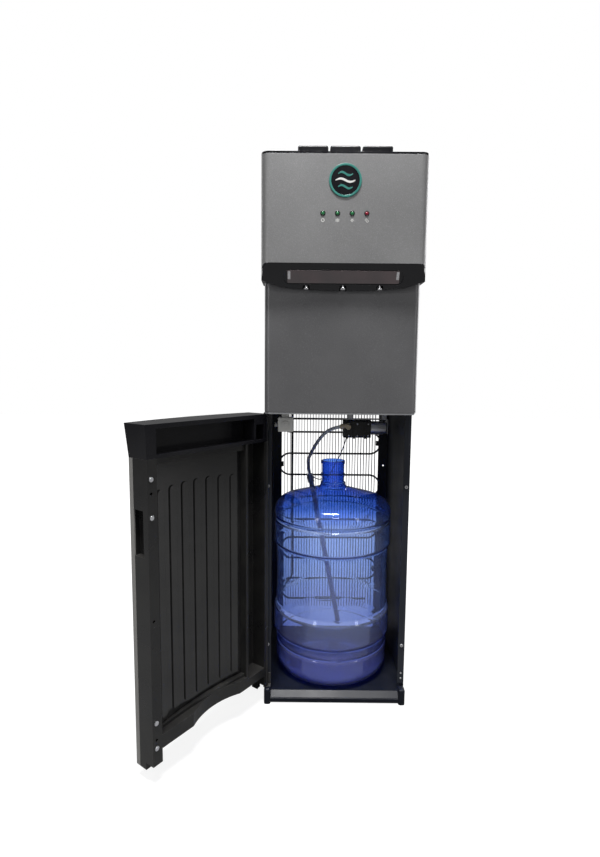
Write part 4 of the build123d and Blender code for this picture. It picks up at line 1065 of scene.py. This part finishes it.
# floor, light and surroundings
studio = {
    "floorTone": (0.16, 0.16, 0.16),
    "floorGlow": 0.86,       # keeps the floor pale where the lamps do not reach
    "farGlow": 1.05,
    "glowFrom": 0.6,         # where the far glow begins, and where it is full
    "glowTo": 2.2,
    "floorSize": 14.0,
    "floorCells": 8,
    "sky": 0.15,
    "lamps": (
        # name, place, aim, size, power
        ("keyLamp", (-0.25, -1.4, 4.9), (0.0, -0.1, 0.8), (1.6, 0.5), 390.0),
        ("frontLamp", (0.2, -3.2, 3.2), (0.0, 0.0, 0.6), (0.8, 0.5), 16.0),
        ("rightLamp", (1.9, -1.9, 1.3), (0.0, 0.0, 0.5), (0.3, 1.6), 5.0),
        ("leftLamp", (-1.5, -2.3, 1.3), (-0.1, -0.1, 0.35), (0.3, 1.4), 6.0),
        ("sideLamp", (2.2, 1.0, 1.3), (0.1, 0.0, 0.6), (0.8, 1.6), 26.0),
        ("backLamp", (1.7, 2.4, 2.4), (0.0, 0.0, 0.5), (1.4, 1.4), 34.0),
        ("backLeftLamp", (-1.9, 1.6, 1.6), (0.0, 0.0, 0.5), (1.0, 1.4), 12.0),
    ),
}


def seenDirectly(tree):
    # 1 where the camera sees it, straight or through the bottle
    ray = addNode(tree, "ShaderNodeLightPath")
    straight, through = ray.outputs["Is Camera Ray"], ray.outputs["Is Transmission Ray"]
    return mathNode(tree, "MAXIMUM", straight, through)


def makeFloorFinish(look):
    material = makeFinish(
        "paleFloor", tone=look["floorTone"], rough=0.8, grain=40.0, relief=0.00002, wear=0.0,
        dust=0.0,
    )
    tree = material.node_tree
    shader = tree.nodes["Principled BSDF"]
    seen = seenDirectly(tree)
    glow = addNode(tree, "ShaderNodeEmission")
    reach = addNode(tree, "ShaderNodeVectorMath", operation="LENGTH")
    join(tree, addNode(tree, "ShaderNodeTexCoord").outputs["Object"], reach.inputs[0])
    spread = rangeNode(tree, reach.outputs["Value"], look["glowFrom"], look["glowTo"])
    spread.inputs["To Min"].default_value = look["floorGlow"]
    spread.inputs["To Max"].default_value = look["farGlow"]
    join(tree, spread.outputs["Result"], glow.inputs["Strength"])
    both = addNode(tree, "ShaderNodeAddShader")
    blend = addNode(tree, "ShaderNodeMixShader")
    join(tree, shader.outputs["BSDF"], both.inputs[0])
    join(tree, glow.outputs["Emission"], both.inputs[1])
    join(tree, seen, blend.inputs[0])
    join(tree, shader.outputs["BSDF"], blend.inputs[1])
    join(tree, both.outputs["Shader"], blend.inputs[2])
    join(tree, blend.outputs["Shader"], tree.nodes["Material Output"].inputs["Surface"])
    return material


def makeFloor(look):
    mesh = bmesh.new()
    size, cells = look["floorSize"], look["floorCells"]
    lines = [size * i / cells - size / 2 for i in range(cells + 1)]
    grid = [[mesh.verts.new((x, y, 0)) for y in lines] for x in lines]
    for i in range(cells):
        for j in range(cells):
            mesh.faces.new((grid[i][j], grid[i + 1][j], grid[i + 1][j + 1], grid[i][j + 1]))
    data = bpy.data.meshes.new("floor")
    mesh.to_mesh(data)
    mesh.free()
    floor = bpy.data.objects.new("floor", data)
    bpy.context.scene.collection.objects.link(floor)
    data.materials.append(makeFloorFinish(look))


def makeLamps(look):
    for name, place, aim, size, power in look["lamps"]:
        data = bpy.data.lights.new(name, "AREA")
        data.shape = "RECTANGLE"
        data.size, data.size_y = size
        data.energy = power
        lamp = bpy.data.objects.new(name, data)
        lamp.location = place
        lamp.rotation_euler = (Vector(aim) - Vector(place)).to_track_quat("-Z", "Y").to_euler()
        bpy.context.scene.collection.objects.link(lamp)


def makeSky(look):
    world = bpy.data.worlds.new("studio")
    bpy.context.scene.world = world
    world.use_nodes = True
    tree = world.node_tree
    seen = seenDirectly(tree)
    around = tree.nodes["Background"]
    around.inputs["Color"].default_value = (1.0, 1.0, 1.0, 1)
    around.inputs["Strength"].default_value = look["sky"]
    behind = addNode(tree, "ShaderNodeBackground")
    behind.inputs["Color"].default_value = (1, 1, 1, 1)
    blend = addNode(tree, "ShaderNodeMixShader")
    join(tree, seen, blend.inputs[0])
    join(tree, around.outputs[0], blend.inputs[1])
    join(tree, behind.outputs[0], blend.inputs[2])
    join(tree, blend.outputs[0], tree.nodes["World Output"].inputs["Surface"])


makeFloor(studio)
makeLamps(studio)
makeSky(studio)
bpy.context.scene.view_settings.view_transform = "Standard"   # keeps the pale floor white
print("studio lit")
